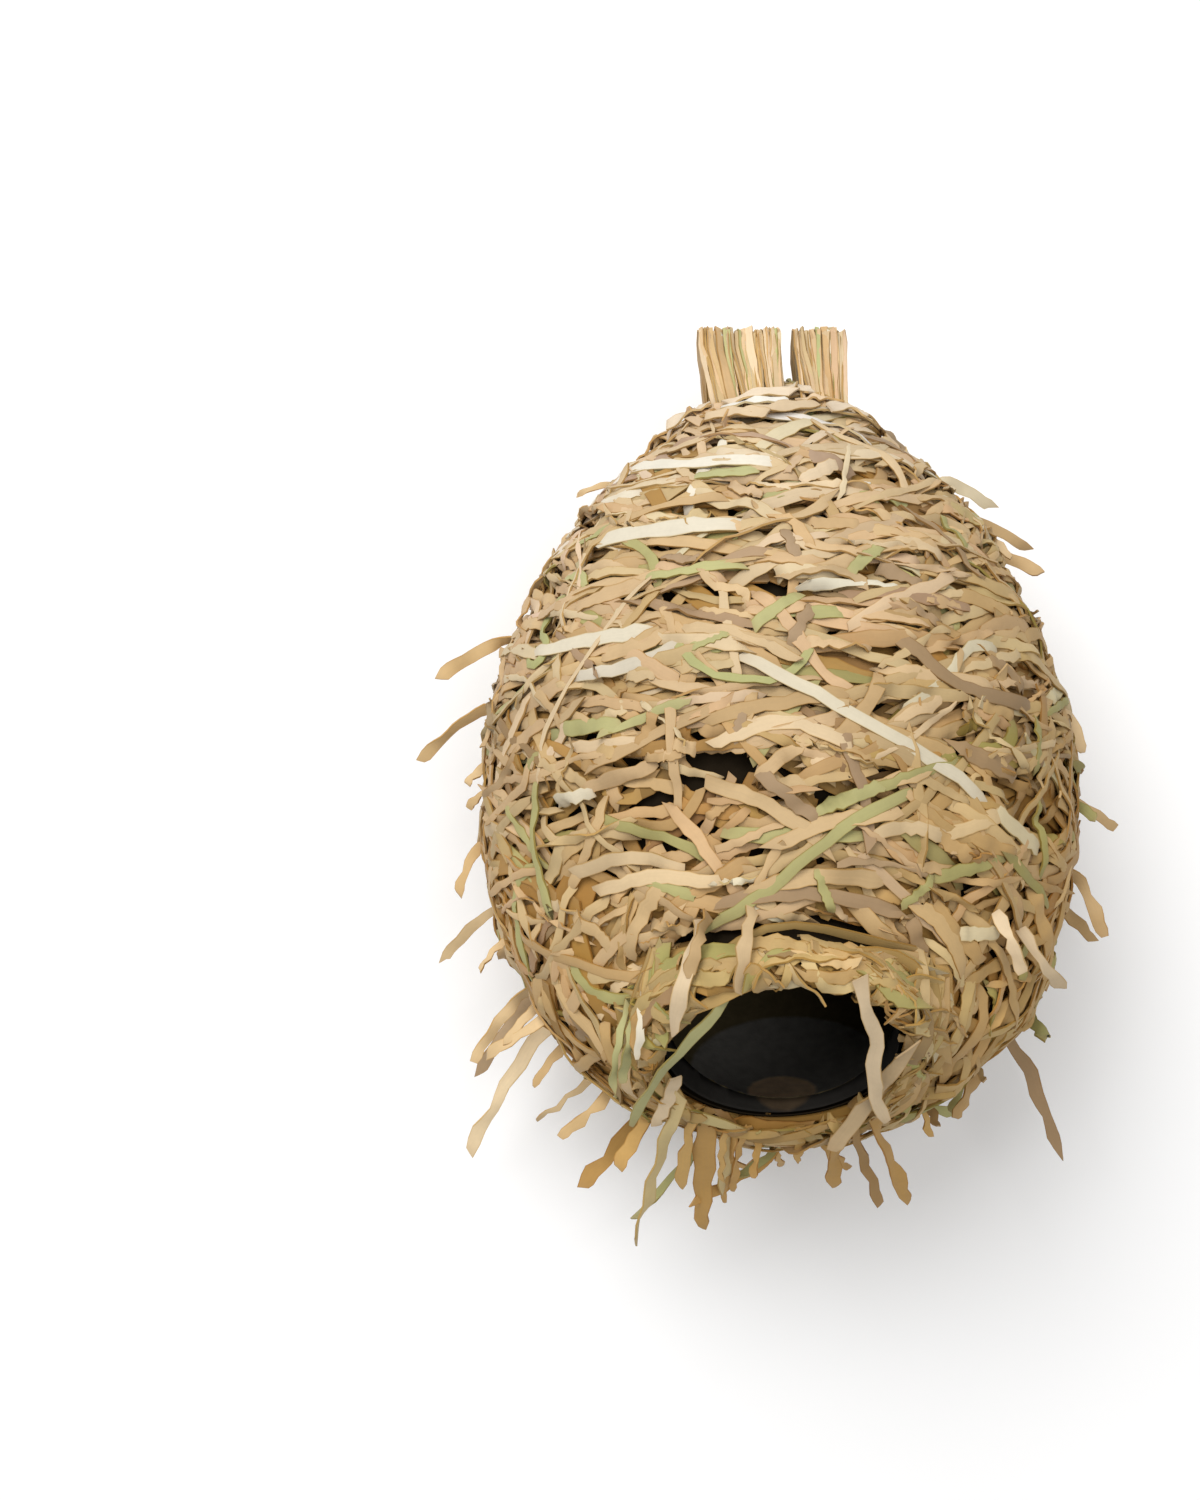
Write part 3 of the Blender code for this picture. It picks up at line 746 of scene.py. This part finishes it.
def shades(count, weights, painted_shade_factor=1.0):
    """Random strip colours by weight, each a little lighter or darker than its kind, and darker and more
    golden by the painted shade factor, as painted shade of the deeper layers.
    """
    share = np.array(weights, float)
    pick = rng.choice(len(KINDS), count, p=share / share.sum())
    tone = painted_shade_factor * rng.normal(1.0, 0.05, (count, 1)) * (1 + rng.normal(0, 0.02, (count, 3)))
    # Painted shade: the deeper a batch lies, the darker and more golden it is painted, for the shade and warm
    # bounced light in the crevices.
    gold = 1 + (np.array(PAINTED_CREVICE_GOLD) - 1) * min((1 - painted_shade_factor) / 0.3, 1)
    return np.clip(np.array(KINDS)[pick] * tone * gold, 0.01, 0.95)


def with_painted_light(colours, points):
    """The colours with painted light and shade at these places: by height, and darker on the far right side.
    """
    tint = np.stack([np.interp(points[:, 1], TINT_HEIGHTS, column) for column in zip(*HEIGHT_PAINTED_LIGHT)], 1)
    aside = np.clip((points[:, :1] - RIGHT_FROM) / RIGHT_FADE, 0, 1)
    return colours * tint * (1 + (np.array(RIGHT_PAINTED_SHADE) - 1) * aside)


def turned_by(direction, normal, angle):
    return direction * np.cos(angle)[:, None] + np.cross(normal, direction) * np.sin(angle)[:, None]


def level_headings(surface, angle, along, slant):
    """Directions on the surface at a slant from level: level is to the right, seen from outside."""
    outward = np.sin(angle)[:, None] * surface.right + np.cos(angle)[:, None] * surface.front
    level = np.cross(surface.axis, outward)
    _, normal = surface.place(angle, along)
    return turned_by(level, normal, slant)


def round_entrance(points):
    """For each point: how far it is from the entrance's axis, how far ahead along it, the way round it, and
    how near the top of the rim it is, from -1 to 1."""
    offset = points - EYE
    ahead = offset @ EYE_AXIS
    radial = offset - ahead[..., None] * EYE_AXIS
    away = np.linalg.norm(radial, axis=-1)
    return away, ahead, np.cross(EYE_AXIS, radial) / away[..., None], (radial @ EYE_UP) / away


def wall_headings(angle, along, spread, steep):
    """Mostly level, some steep, more down the wall at the lower sides, and round the entrance near it."""
    count = len(angle)
    slant = rng.normal(0, spread, count)
    slant = np.where(rng.random(count) < steep, rng.uniform(-1.4, 1.4, count), slant)
    points, normal = wall_surface.place(angle, along)
    low_side = (points[:, 1] < -22 * MM) & (np.abs(angle) > 0.6) & (np.abs(angle) < 2.4)
    downwards = low_side & (rng.random(count) < 0.45)
    slant = np.where(downwards, math.pi / 2 + rng.normal(0, 0.45, count), slant)
    directions = level_headings(wall_surface, angle, along, slant)
    away, ahead, way_round, _ = round_entrance(points)
    chance = np.clip(1.1 - (away - 29 * MM) / (26 * MM), 0, 0.75) * (ahead > -40 * MM)
    near = rng.random(count) < chance
    turned = turned_by(way_round, normal, rng.normal(0, 0.35, count))
    return np.where(near[:, None], turned, directions)


def open_places(lines):
    """Which points of each line are clear of the entrance and of the small holes in the weave."""
    away, ahead, _, up = round_entrance(lines)
    reach = 28.6 * MM - 3.4 * MM * np.clip((up - 0.70) / 0.15, 0, 1)
    clear = (away > reach) | (ahead < WAY_IN_BACK)
    nearest = np.rint(DENSE_AT).astype(int)
    for k, line in enumerate(lines):
        across, up, depth = resampled(line, DENSE_AT).T
        for x, u, wide, tall in GAPS:
            inside = ((across / MM - x) / (wide - 0.7)) ** 2 + ((up / MM - u) / (tall - 0.1)) ** 2 < 1
            clear[k, nearest[inside & (depth > AXIS_HEIGHT)]] = False
    return clear


def clear_stretches(lines, clear, least=4):
    """The lines cut into their clear stretches, leaving out those with fewer points than the least."""
    done = []
    for line, good in zip(lines, clear):
        start = None
        for i, inside in enumerate([*good, False]):
            if inside and start is None:
                start = i
            if not inside and start is not None:
                if i - start >= least:
                    done.append(resampled(line, np.linspace(start, i - 1, ALONG)))
                start = None
    return np.array(done)


def keep_on_wall(lines, rows, colours, lengths):
    """Sorts laid strips into the wall's four pieces, with painted light: paler towards the crown, darker on
    the far right.
    """
    middle = lines[:, ALONG // 2]
    colours = with_painted_light(colours, middle)
    at_back = middle[:, 2] < AXIS_HEIGHT
    at_crown = middle[:, 1] > 12 * MM
    for name in WALL_PIECES:
        side, end = name.split("_")
        chosen = (at_back == (side == "back")) & (at_crown == (end == "crown"))
        keep("wall_" + name, rows[chosen], colours[chosen], lengths[chosen])


def weave_wall(count, low, high, spread, steep, habit, colours, painted_shade_factor=1.0):
    """A batch of strips on the wall between two heights, with their middles spread evenly over it."""
    inside = (wall_surface.height > low) & (wall_surface.height < high)
    weight = np.where(inside, wall_surface.radius, 0)
    along = rng.choice(wall_surface.at, count, p=weight / weight.sum())
    angle = rng.uniform(-math.pi, math.pi, count)
    starts, _ = wall_surface.place(angle, along)
    lines = run_lines(wall_surface, starts, wall_headings(angle, along, spread, steep),
                      rng.uniform(*habit.length, count) * MM, rng.normal(0, habit.bend, count))
    lines = clear_stretches(lines, open_places(lines))
    rows, lengths = wall_weave.lay(lines, habit)
    keep_on_wall(lines, rows, shades(len(lines), colours, painted_shade_factor), lengths)


def over_front(places):
    """A smooth line over the front of the wall through places across and up from the nest's middle."""
    flat = np.array(places, float) * MM
    path = np.stack([flat[:, 0], flat[:, 1], np.full(len(flat), AXIS_HEIGHT)], 1)
    radius = [egg_radius(u, BODY_RADIUS, CROWN_HEIGHT, BELLY_DEPTH) for u in flat[:, 1]]
    path[:, 2] += np.sqrt(np.maximum(np.square(radius) - flat[:, 0] ** 2, 0))
    return through(path, ALONG)


def weave_marked():
    """The strips that stand out, one by one, on top of the rest."""
    for colour, width, places in MARKED:
        line, _ = wall_surface.snap(over_front(places))
        habit = Habit((width, width), None, tuck=(0.2, 1.0), dive=(0.0, 0.2), twist=0.05, twisted=0,
                      waver=0.06, loose=0)
        rows, lengths = wall_weave.lay(line[None], habit)
        keep_on_wall(line[None], rows, np.array(COLOURS[colour])[None] * rng.normal(1, 0.04), lengths)


def weave_neck():
    """Strips wound round the neck over the feet of the hanging loops."""
    ends = np.array([(0, 82, 26), (0, 97, 4)]) * MM + MIDDLE
    _, along = wall_surface.locate(ends)
    first, last = (along / wall_surface.CELL).astype(int)
    cells = slice(wall_surface.row_start[first], wall_surface.row_start[last])
    over_the_feet = 6.4 * MM
    wall_surface.laid[cells] = np.maximum(wall_surface.laid[cells], over_the_feet)
    habit = Habit((1.8, 3.2), (10, 22), tuck=(0.6, 2.0), dive=(0, 0.3), twist=0.15, loose=0.08)
    weave_wall(34, 82 * MM, 91 * MM, 0.16, 0.06, habit, (8, 8, 2, 1.2, 0.4, 1, 3))


def weave_chamber():
    # Weights for straw, cream, white, tan, grey-brown, green and peach.
    inner = (5, 0, 0, 6, 1.5, 0.8, 1)
    upper = (13, 4.4, 1.3, 1.2, 0.8, 1.3, 2.4)
    lower = (15, 1.8, 0.4, 2.4, 1.1, 1.5, 1.0)
    floor, crown = -BELLY_DEPTH, CROWN_HEIGHT
    broad = Habit((3.4, 5.0), (35, 75), tuck=(0, 0.2), dive=(0, 0.1), twist=0.03, twisted=0, roll=0)
    # The deepest layer is tan-heavy and dimmed, and so are the dimmer batches below: painted shade of the
    # weave's crevices.
    weave_wall(420, floor, crown, 0.5, 0.25, broad, inner, 0.7)
    np.minimum(wall_surface.laid, 1.5 * MM, out=wall_surface.laid)
    for painted_shade_factor in (0.86, 0.92, 0.97, 1.0):
        high = Habit((1.6, 3.2), (12, 37), dive=(0, 0.6))
        weave_wall(375, 8 * MM, crown, 0.22, 0.10, high, upper, painted_shade_factor)
    for painted_shade_factor in (0.72, 0.84, 0.94, 1.0):
        low = Habit((1.7, 3.3), (12, 35), dive=(0, 0.6))
        weave_wall(345, floor, 14 * MM, 0.45, 0.18, low, lower, painted_shade_factor)
    scraps = Habit((1.2, 2.8), (6, 16), roll=0.16, loose=0.05)
    weave_wall(110, 48 * MM, crown, 0.35, 0.2, scraps, upper)
    narrow = Habit((0.9, 2.0), (10, 34), twist=0.25, twisted=0.3, waver=0.2, dive=(0, 0.8), loose=0.12)
    weave_wall(90, 8 * MM, crown, 0.5, 0.3, narrow, upper)
    weave_wall(150, floor, 14 * MM, 0.8, 0.4, narrow, lower)
    weave_neck()
    weave_marked()


def spun(name, profile, origin, axis, front, material, replaced, thickness, cut):
    """A thin dark layer behind the strips: an outline turned about an axis, then thickened inwards."""
    bm = bmesh.new()
    origin, axis, front = Vector(origin), Vector(axis), Vector(front)
    outline = [bm.verts.new(origin + front * radius + axis * height) for radius, height in profile]
    for first, second in zip(outline, outline[1:]):
        bm.edges.new((first, second))
    bmesh.ops.spin(bm, geom=bm.verts[:] + bm.edges[:], cent=origin, axis=axis, dvec=(0, 0, 0),
                   angle=2 * math.pi, steps=120, use_merge=True)
    bmesh.ops.remove_doubles(bm, verts=bm.verts[:], dist=0.05 * MM)
    cut(bm)
    bmesh.ops.recalc_face_normals(bm, faces=bm.faces[:])
    bmesh.ops.solidify(bm, geom=bm.faces[:], thickness=thickness)
    bmesh.ops.recalc_face_normals(bm, faces=bm.faces[:])
    for vert in bm.verts:
        vert.co.z = max(vert.co.z, 0.4 * MM)
    mesh = bpy.data.meshes.new(name)
    bm.to_mesh(mesh)
    bm.free()
    mesh.polygons.foreach_set("use_smooth", np.ones(len(mesh.polygons), bool))
    mesh.materials.append(material)
    stand_in(name, mesh, replaced)


def from_axis(vert):
    """(how far ahead of the entrance's middle, the rest of the way there) for a vertex."""
    offset = vert.co - COLLAR_CENTRE
    ahead = offset.dot(COLLAR_AXIS)
    return ahead, offset - COLLAR_AXIS * ahead


def open_entrance(bm):
    """Cuts the way in through a layer of the wall, and draws the cut to a clean round rim."""
    reach = COLLAR_BORE + 1.5 * MM
    within = []
    for vert in bm.verts:
        ahead, outward = from_axis(vert)
        if ahead > WAY_IN_BACK and outward.length < reach:
            within.append(vert)
    bmesh.ops.delete(bm, geom=within, context="VERTS")
    for vert in bm.verts:
        if vert.is_boundary:
            ahead, outward = from_axis(vert)
            vert.co = COLLAR_CENTRE + COLLAR_AXIS * ahead + outward.normalized() * reach


def in_chamber(point):
    inset = 7.3 * MM
    reach = egg_radius(point.y, BODY_RADIUS - inset, CROWN_HEIGHT - 10.5 * MM, BELLY_DEPTH - inset)
    return math.hypot(point.x, point.z - AXIS_HEIGHT) < reach


def leave_chamber_clear(bm):
    """Takes away what would stand inside the chamber, and draws the end back in to the chamber's inside."""
    bmesh.ops.delete(bm, geom=[vert for vert in bm.verts if in_chamber(vert.co)], context="VERTS")
    step = 0.1 * MM
    for vert in bm.verts:
        ahead, _ = from_axis(vert)
        if vert.is_boundary and ahead < -6 * MM:
            while not in_chamber(vert.co) and ahead > TUBE_BACK:
                vert.co -= COLLAR_AXIS * step
                ahead -= step


def dark_layers(lining, shade, inside):
    """Near-black sheets painted as deep shade in the wall's thickness and in the collar's thickness and bore,
    and the wall's dark inside, seen through the gaps and the entrance.
    """
    for name, inset, material in (("wall_thickness", 5.8, shade), ("wall_inside", 6.8, lining)):
        spun(name, egg_profile(inset * MM), MIDDLE, (0, 1, 0), (0, 0, 1), material,
             ["chamber_wall"], 0.5 * MM, open_entrance)
    outside, bore = COLLAR_OUTSIDE - 2.9 * MM, COLLAR_BORE + 1.3 * MM
    sides = np.linspace(TUBE_BACK, -4 * MM, 24)
    for name, radius, material in (("collar_thickness", outside, shade), ("collar_inside", bore, inside)):
        outline = [(radius, h) for h in sides] + [(0.5 * (radius + bore), TUBE_LIP)]
        spun(name, outline, COLLAR_CENTRE, COLLAR_AXIS, EYE_UP, material,
             ["entrance_collar"], 0.3 * MM, leave_chamber_clear)


def lining_material(name, colour, *patches):
    """Nearly black fibres, with ragged round patches of another tint, which paint light and shade."""
    made, tree, shader = new_material(name, 0.9, 0.0)
    place = node(tree, "ShaderNodeTexCoord")
    fibres = node(tree, "ShaderNodeTexNoise", Scale=420.0, Detail=4.0)
    tree.links.new(place.outputs["Object"], fibres.inputs["Vector"])
    dark = mix_colour(tree, "MIX", fibres.outputs["Fac"], tuple(0.7 * c for c in colour) + (1,),
                      tuple(1.3 * c for c in colour) + (1,))
    for middle, radius, within, beyond in patches:
        away = node(tree, "ShaderNodeVectorMath", operation="DISTANCE")
        tree.links.new(place.outputs["Object"], away.inputs[0])
        away.inputs[1].default_value = np.array(middle) * MM + MIDDLE
        outwards = maths(tree, "SUBTRACT", away.outputs["Value"], radius * MM)
        inwards = maths(tree, "MULTIPLY", outwards, -1 / MM)
        strays = maths(tree, "MULTIPLY", fibres.outputs["Fac"], 0.6)
        ragged = maths(tree, "ADD", inwards, strays, clamp=True)
        tint = mix_colour(tree, "MIX", ragged, beyond + (1,), within + (1,))
        dark = mix_colour(tree, "MULTIPLY", 1.0, dark, tint)
    tree.links.new(dark, shader.inputs["Base Color"])
    raise_surface(tree, shader, fibres.outputs["Fac"], 0.4, 0.4 * MM)
    return made


# ---------------------------------------------------------------- collar

def collar_tint_painted_shade(points):
    """The collar's gold, with painted shade: darker and deeper gold towards the bottom of the entrance, where
    the rim faces down away from the light.
    """
    low = np.clip(-round_entrance(points)[3], 0, 1)[:, None]
    return np.array(COLLAR_TINT) * (1 + (np.array(LIP_PAINTED_SHADE) - 1) * low)


def weave_collar():
    """Strips wound round and over the lip, longer underneath and shorter and rougher on top."""
    surface = TurnedSurface(collar_profile(), ((COLLAR_BORE + COLLAR_OUTSIDE) / 2 + 0.3 * MM, -4 * MM),
                            COLLAR_CENTRE, COLLAR_AXIS, EYE_UP)
    weave = Weave(surface, 3.6 * MM)
    strands = (14, 2.4, 0.6, 1.8, 1.2, 3.2, 1)
    dry = (3, 0, 0, 5, 2, 0.6, 0.5)
    under = Habit((3, 4), (25, 45), (0, 0.2), (0, 0.1), 0.03, 0, roll=0)
    round_it = Habit((2.2, 3.6), (12, 28), (0.2, 0.9), (0, 0.6), roll=0.2)
    across_it = Habit((2.0, 3.8), (7, 15), (0, 0.5), (0, 0.3), 0.12, 0.1, 0.12, 0.25, roll=0.28)
    short = Habit((2.4, 4.6), (10, 19), (-0.3, 0.6), (0, 0.3), 0.12, 0.1, 0.14, 0.15, roll=0.28)
    threads = Habit((0.6, 1.3), (12, 28), (0, 0.5), (0, 0.3), 0.3)
    batches = (
        # count, angles round the entrance from its top, how far over the lip, slant, habit, colours, and the
        # painted shade (dimming) of the deeper layers
        (60, (-180, 180), (0.05, 0.70), (0.0, 0.12), under, dry, 0.78),
        (75, (-180, 180), (0.20, 0.69), (0.0, 0.30), round_it, strands, 0.84),
        (60, (-180, 180), (0.20, 0.69), (0.0, 0.30), round_it, strands, 0.93),
        (22, (45, 315), (0.33, 0.60), (0.7, 0.3), across_it, strands, 0.92),
        (22, (45, 315), (0.33, 0.60), (-0.7, 0.3), across_it, strands, 0.97),
        (60, (-130, -30), (0.35, 0.69), (0.0, 0.22), threads, dry, 0.9),
        (56, (-75, 75), (0.40, 0.68), (0.0, 0.36), short, strands, 1.0),
        (30, (60, 300), (0.50, 0.69), (0.0, 0.2), round_it, strands, 1.0),
    )
    for count, angles, over, (lean, spread), habit, colours, painted_shade_factor in batches:
        angle = np.radians(rng.uniform(*angles, count))
        along = rng.uniform(*over, count) * surface.length
        starts, _ = surface.place(angle, along)
        headings = level_headings(surface, angle, along, rng.normal(lean, spread, count))
        lines = run_lines(surface, starts, headings, rng.uniform(*habit.length, count) * MM,
                          rng.normal(0, 0.1, count))
        turned, reached = surface.locate(lines)
        clear = reached < surface.length * rng.uniform(0.66, 0.71, (count, 1))
        inner = np.interp(lines[..., 1], wall_surface.height, wall_surface.radius) - 1 * MM
        clear &= np.hypot(lines[..., 0], lines[..., 2] - AXIS_HEIGHT) > inner
        # The collar's top stays open behind its lip, where the slit is.
        past_slit = reached > (16.0 + rng.normal(0, 0.8, (count, 1))) * MM
        clear &= (np.abs(turned) > math.radians(42)) | past_slit
        lines = clear_stretches(lines, clear, 7)
        rows, lengths = weave.lay(lines, habit)
        # Painted shade: deeper layers darker and more golden, and the rim darker towards its bottom.
        coloured = shades(len(lines), colours, painted_shade_factor) * collar_tint_painted_shade(lines[:, ALONG // 2])
        keep("collar_strips", rows, coloured, lengths)
        if habit is under:
            np.minimum(surface.laid, 0.6 * MM, out=surface.laid)


# ---------------------------------------------------------------- strips that hang free

def free_strip(piece, line, facing, width, colour, zigzag=0.0, roll=0.25):
    """A strip that isn't held down: it zigzags and pinches, and its face leans about."""
    tangent = unit(np.gradient(line, axis=0))
    side = unit(np.cross(facing, tangent))
    normal = np.cross(tangent, side)
    knots = np.arange(0, ALONG, 2)
    kinks = np.where(np.arange(len(knots)) % 2, 1.0, -1.0) * rng.uniform(0.1, 1.0, len(knots))
    kinks *= zigzag * MM
    kinks[0] = 0
    kinks = np.interp(np.arange(ALONG), knots, kinks)
    turn = rng.normal(0, roll) + wander(1, 0.25 + 0.3 * zigzag, 2)[0]
    pinch = np.interp(np.arange(ALONG), knots, 1 + rng.normal(0, 0.08 + 0.25 * zigzag, len(knots)))
    pinch[-1] *= rng.uniform(0.35, 0.8)
    half = np.clip(pinch, 0.35, 1.25) * width / 2
    across = side * np.cos(turn)[:, None] + normal * np.sin(turn)[:, None]
    middle = line + side * kinks[:, None] + normal * (kinks * 0.4)[:, None]
    rows = np.stack([middle + across * (half * share)[:, None] for share in (-1, 0, 1)])
    rows[1] += normal * 0.12 * MM
    cut_ends(rows[None], rng.normal(0, 0.4, (1, 2)))
    keep(piece, rows[None], np.array(colour)[None] * rng.normal(1, 0.05), [run_length(line)])


def loose_straws():
    """Strip ends that come out of the wall or the collar, bend at a knee and hang or stick out."""
    for group, straws in LOOSE.items():
        for colour, width, angle, height, tip, zigzag in straws:
            end = MIDDLE + np.array(tip) * MM
            if height is None:
                foot = MIDDLE + np.array(angle) * MM
                normal = unit(end - foot)
            else:
                along = np.interp(height * MM, wall_surface.height, wall_surface.at)
                foot, normal = wall_surface.place(np.radians([angle]), np.array([along]))
                foot, normal = foot[0], normal[0]
            reach = np.linalg.norm(end - foot)
            start = foot - normal * 1.5 * MM
            knee = foot + normal * min(5 * MM, reach * 0.3)
            line = through([start, knee, knee * 0.45 + end * 0.55 + normal * reach * 0.06, end], ALONG)
            free_strip("straws_" + group, line, FORWARD, width * MM,
                       np.array(COLOURS[colour]) * STRAW_TINTS[group], zigzag)


def overhanging_strips():
    for colour, width, places in OVERHANGING:
        line = through(MIDDLE + np.array(places, float) * MM, ALONG)
        zigzag = 0.5 if len(places) > 5 else 0.3
        facing = EYE_AXIS * 0.6 + FORWARD * 0.8
        free_strip("collar_overhang", line, facing, width * MM, COLOURS[colour], zigzag, 0.08)


# ---------------------------------------------------------------- hanging loops

TWIG_HEIGHT = 104.7 * MM
LOOP_RADIUS = 4.5 * MM
LOOPS = {
    # left edge and right edge, strands, how far the front legs lean to the right at each edge, and the range
    # that the back legs lean over
    "left": (-18.3, 1.0, 52, (3.4, -0.4), (1.2, 3.0)),
    "right": (3.4, 16.2, 36, (1.8, -1.7), (2.3, 3.3)),
}


def hanging_loop(name):
    """Strands that went up from the front of the neck, over the twig and down to the back of the neck."""
    low, high, count, leans, back_leans = LOOPS[name]
    low, high = low * MM, high * MM
    greens = {"left": 5.0, "right": 0.8}
    slots = (np.arange(count) + 0.5) / count
    for share in rng.permutation(slots):
        width = rng.choice((0.6, 0.7, 0.9, 0.9, 1.1, 1.3, 1.8)) * MM
        edge = low + width / 2 + share * (high - low - width)
        lean = (leans[0] + (leans[1] - leans[0]) * share + rng.normal(0, 0.8)) * MM
        radius = LOOP_RADIUS + rng.uniform(-1.7, 0.1) * MM
        back_lean = rng.uniform(*back_leans) * MM
        legs = []
        for foot_at, sign in ((edge + lean, 1), (edge + back_lean, -1)):
            foot_x = np.clip(foot_at, low - 1.0 * MM, high + 1.0 * MM)
            height = rng.uniform(86.5, 89.5) * MM
            neck = egg_radius(height, BODY_RADIUS, CROWN_HEIGHT, BELLY_DEPTH)
            depth = math.sqrt(max(neck**2 - foot_x**2, (3 * MM) ** 2)) - rng.uniform(1.5, 3.0) * MM
            foot = np.array((foot_x, height, AXIS_HEIGHT + sign * depth))
            bend = np.array((edge, TWIG_HEIGHT, AXIS_HEIGHT + sign * radius))
            sag = np.array((0, 0, -sign * 0.5 * MM))
            legs.append([foot, foot * 0.62 + bend * 0.38 + sag * 0.6, foot * 0.3 + bend * 0.7 + sag, bend])
        over = [
            np.array((edge, TWIG_HEIGHT + radius * math.sin(turn), AXIS_HEIGHT + radius * math.cos(turn)))
            for turn in np.linspace(0, math.pi, 5)[1:-1]
        ]
        line = through(legs[0] + over + legs[1][::-1], ALONG)
        tangent = unit(np.gradient(line, axis=0))
        side = unit(RIGHT - tangent * tangent[:, :1])
        normal = np.cross(side, tangent)
        turn = rng.normal(0, 0.5) + wander(1, 0.3, 2)[0]
        half = width / 2 * (1 + rng.normal(0, 0.12, ALONG))
        across = side * np.cos(turn)[:, None] + normal * np.sin(turn)[:, None]
        rows = np.stack([line + across * (half * edgewise)[:, None] for edgewise in (-1, 0, 1)])
        colour = 1.16 * shades(1, (9, 6, 1.4, 2, 0.4, greens[name], 2))
        keep("loop_" + name, rows[None], colour, [run_length(line)])


def neck_wraps():
    """The broad strips over the loops' feet, which face away from a point inside the neck."""
    for colour, width, places in NECK_WRAPS:
        line = over_front(places)
        facing = unit(line - np.array((0, 60 * MM, AXIS_HEIGHT)))
        # They take the crown's painted light.
        free_strip("wall_front_crown", line + facing * 1.1 * MM, facing, width * MM,
                   np.array(COLOURS[colour]) * HEIGHT_PAINTED_LIGHT[-1], 0.08, 0.12)


def bridging_strips():
    """Strips that run from the wall up on to the collar's lip and hold the two together."""
    for _ in range(60):
        turn = math.radians(rng.uniform(50, 310))
        sweep = rng.normal(0, 0.9)
        points = []
        for share in (0, 0.35, 0.7, 1):
            around = turn + sweep * share
            aim = EYE_UP * math.cos(around) - RIGHT * math.sin(around)
            near = EYE + aim * (40 - 9 * share) * MM
            on_wall, out = wall_surface.snap(near[None])
            lifted = on_wall[0] + out[0] * 4.6 * MM
            lip = EYE + aim * (29.5 - 3.5 * share) * MM + EYE_AXIS * rng.uniform(-0.5, 1.0) * MM
            blend = min(1.0, share * 1.35) ** 2
            points.append(lifted * (1 - blend) + lip * blend)
        middle = points[1] - MIDDLE
        facing = unit(EYE_AXIS * 0.8 + unit(middle) * 0.9)
        # The collar's gold, with painted shade towards the bottom of the entrance.
        colour = shades(1, (13, 2, 0.6, 3, 1.2, 2.6, 1)) * collar_tint_painted_shade(points[-1][None])
        width = rng.uniform(1.8, 3.3) * MM
        free_strip("collar_overhang", through(points, ALONG), facing, width, colour[0], 0.12, 0.15)


# ---------------------------------------------------------------- build

weave_chamber()
bridging_strips()
weave_collar()
loose_straws()
overhanging_strips()
hanging_loop("left")
hanging_loop("right")
neck_wraps()

grain = leaf_grain()
woven = strip_material("woven_leaf_strips", grain, 5.0, 0.14, 0.25)
coiled = strip_material("coiled_leaf_strips", grain, 4.5, 0.15, 0.25)
strand = strip_material("loop_leaf_strands", grain, 3.0, 0.3, 0.35)
dry = strip_material("dry_straws", grain, 4.0, 0.15, 0.25)
green = strip_material("green_straws", grain, 4.0, 0.2, 0.3, -0.08)
lining = lining_material("dark_lining", DARK_LINING, PAINTED_SHADE_PAST_FLOOR, FLOOR_PAINTED_LIGHT)
shade = lining_material("deep_shade", SHADE)
collar_shade = lining_material("collar_shade", COLLAR_SHADE, COLLAR_PAINTED_LIGHT)

straw_nodes = [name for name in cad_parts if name.startswith("straw_")]
green_nodes = [name for name in straw_nodes if "green" in name]
for region in WALL_PIECES:
    strip_mesh("wall_" + region, woven, ["chamber_wall"])
strip_mesh("collar_strips", coiled, ["entrance_collar"])
strip_mesh("collar_overhang", coiled, ["entrance_collar"])
for side in LOOPS:
    chosen = [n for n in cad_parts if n.startswith("loop_" + side)]
    strip_mesh("loop_" + side, strand, chosen)
for side in ("left", "bottom", "right"):
    chosen = [n for n in straw_nodes if n.startswith("straw_" + side) and n not in green_nodes]
    strip_mesh("straws_" + side, dry, chosen)
strip_mesh("straws_green", green, green_nodes)
dark_layers(lining, shade, collar_shade)


# ---------------------------------------------------------------- stage

def stage():
    bpy.ops.mesh.primitive_plane_add(size=8, location=(0, 0, 0))
    floor = bpy.context.object
    floor.name = "studio_floor"
    paint, _, shader = new_material("studio_white", 0.9, 0.5)
    shader.inputs["Base Color"].default_value = (0.92, 0.92, 0.92, 1)
    floor.data.materials.append(paint)

    world = bpy.data.worlds.new("studio")
    world.use_nodes = True
    world.node_tree.nodes["Background"].inputs["Color"].default_value = (1, 1, 1, 1)
    world.node_tree.nodes["Background"].inputs["Strength"].default_value = 0.45
    bpy.context.scene.world = world
    for name, place, size, watts in (
        ("key", (-0.42, 0.66, 1.2), 0.8, 15.5),
        ("fill", (0.16, 0.06, 1.3), 0.5, 4.0),
    ):
        lamp = bpy.data.lights.new(name, "AREA")
        lamp.size = size
        lamp.energy = watts
        holder = bpy.data.objects.new(name, lamp)
        holder.location = place
        aim = Vector((0, 0, AXIS_HEIGHT)) - Vector(place)
        holder.rotation_euler = aim.to_track_quat("-Z", "Y").to_euler()
        bpy.context.scene.collection.objects.link(holder)

    lens = bpy.data.cameras.new("camera")
    lens.lens = 50
    lens.sensor_width = 36
    camera = bpy.data.objects.new("camera", lens)
    camera.location = (-0.0408, 0.0116, AXIS_HEIGHT + 0.483)
    bpy.context.scene.collection.objects.link(camera)
    bpy.context.scene.camera = camera
    bpy.context.scene.view_settings.view_transform = "Standard"


stage()
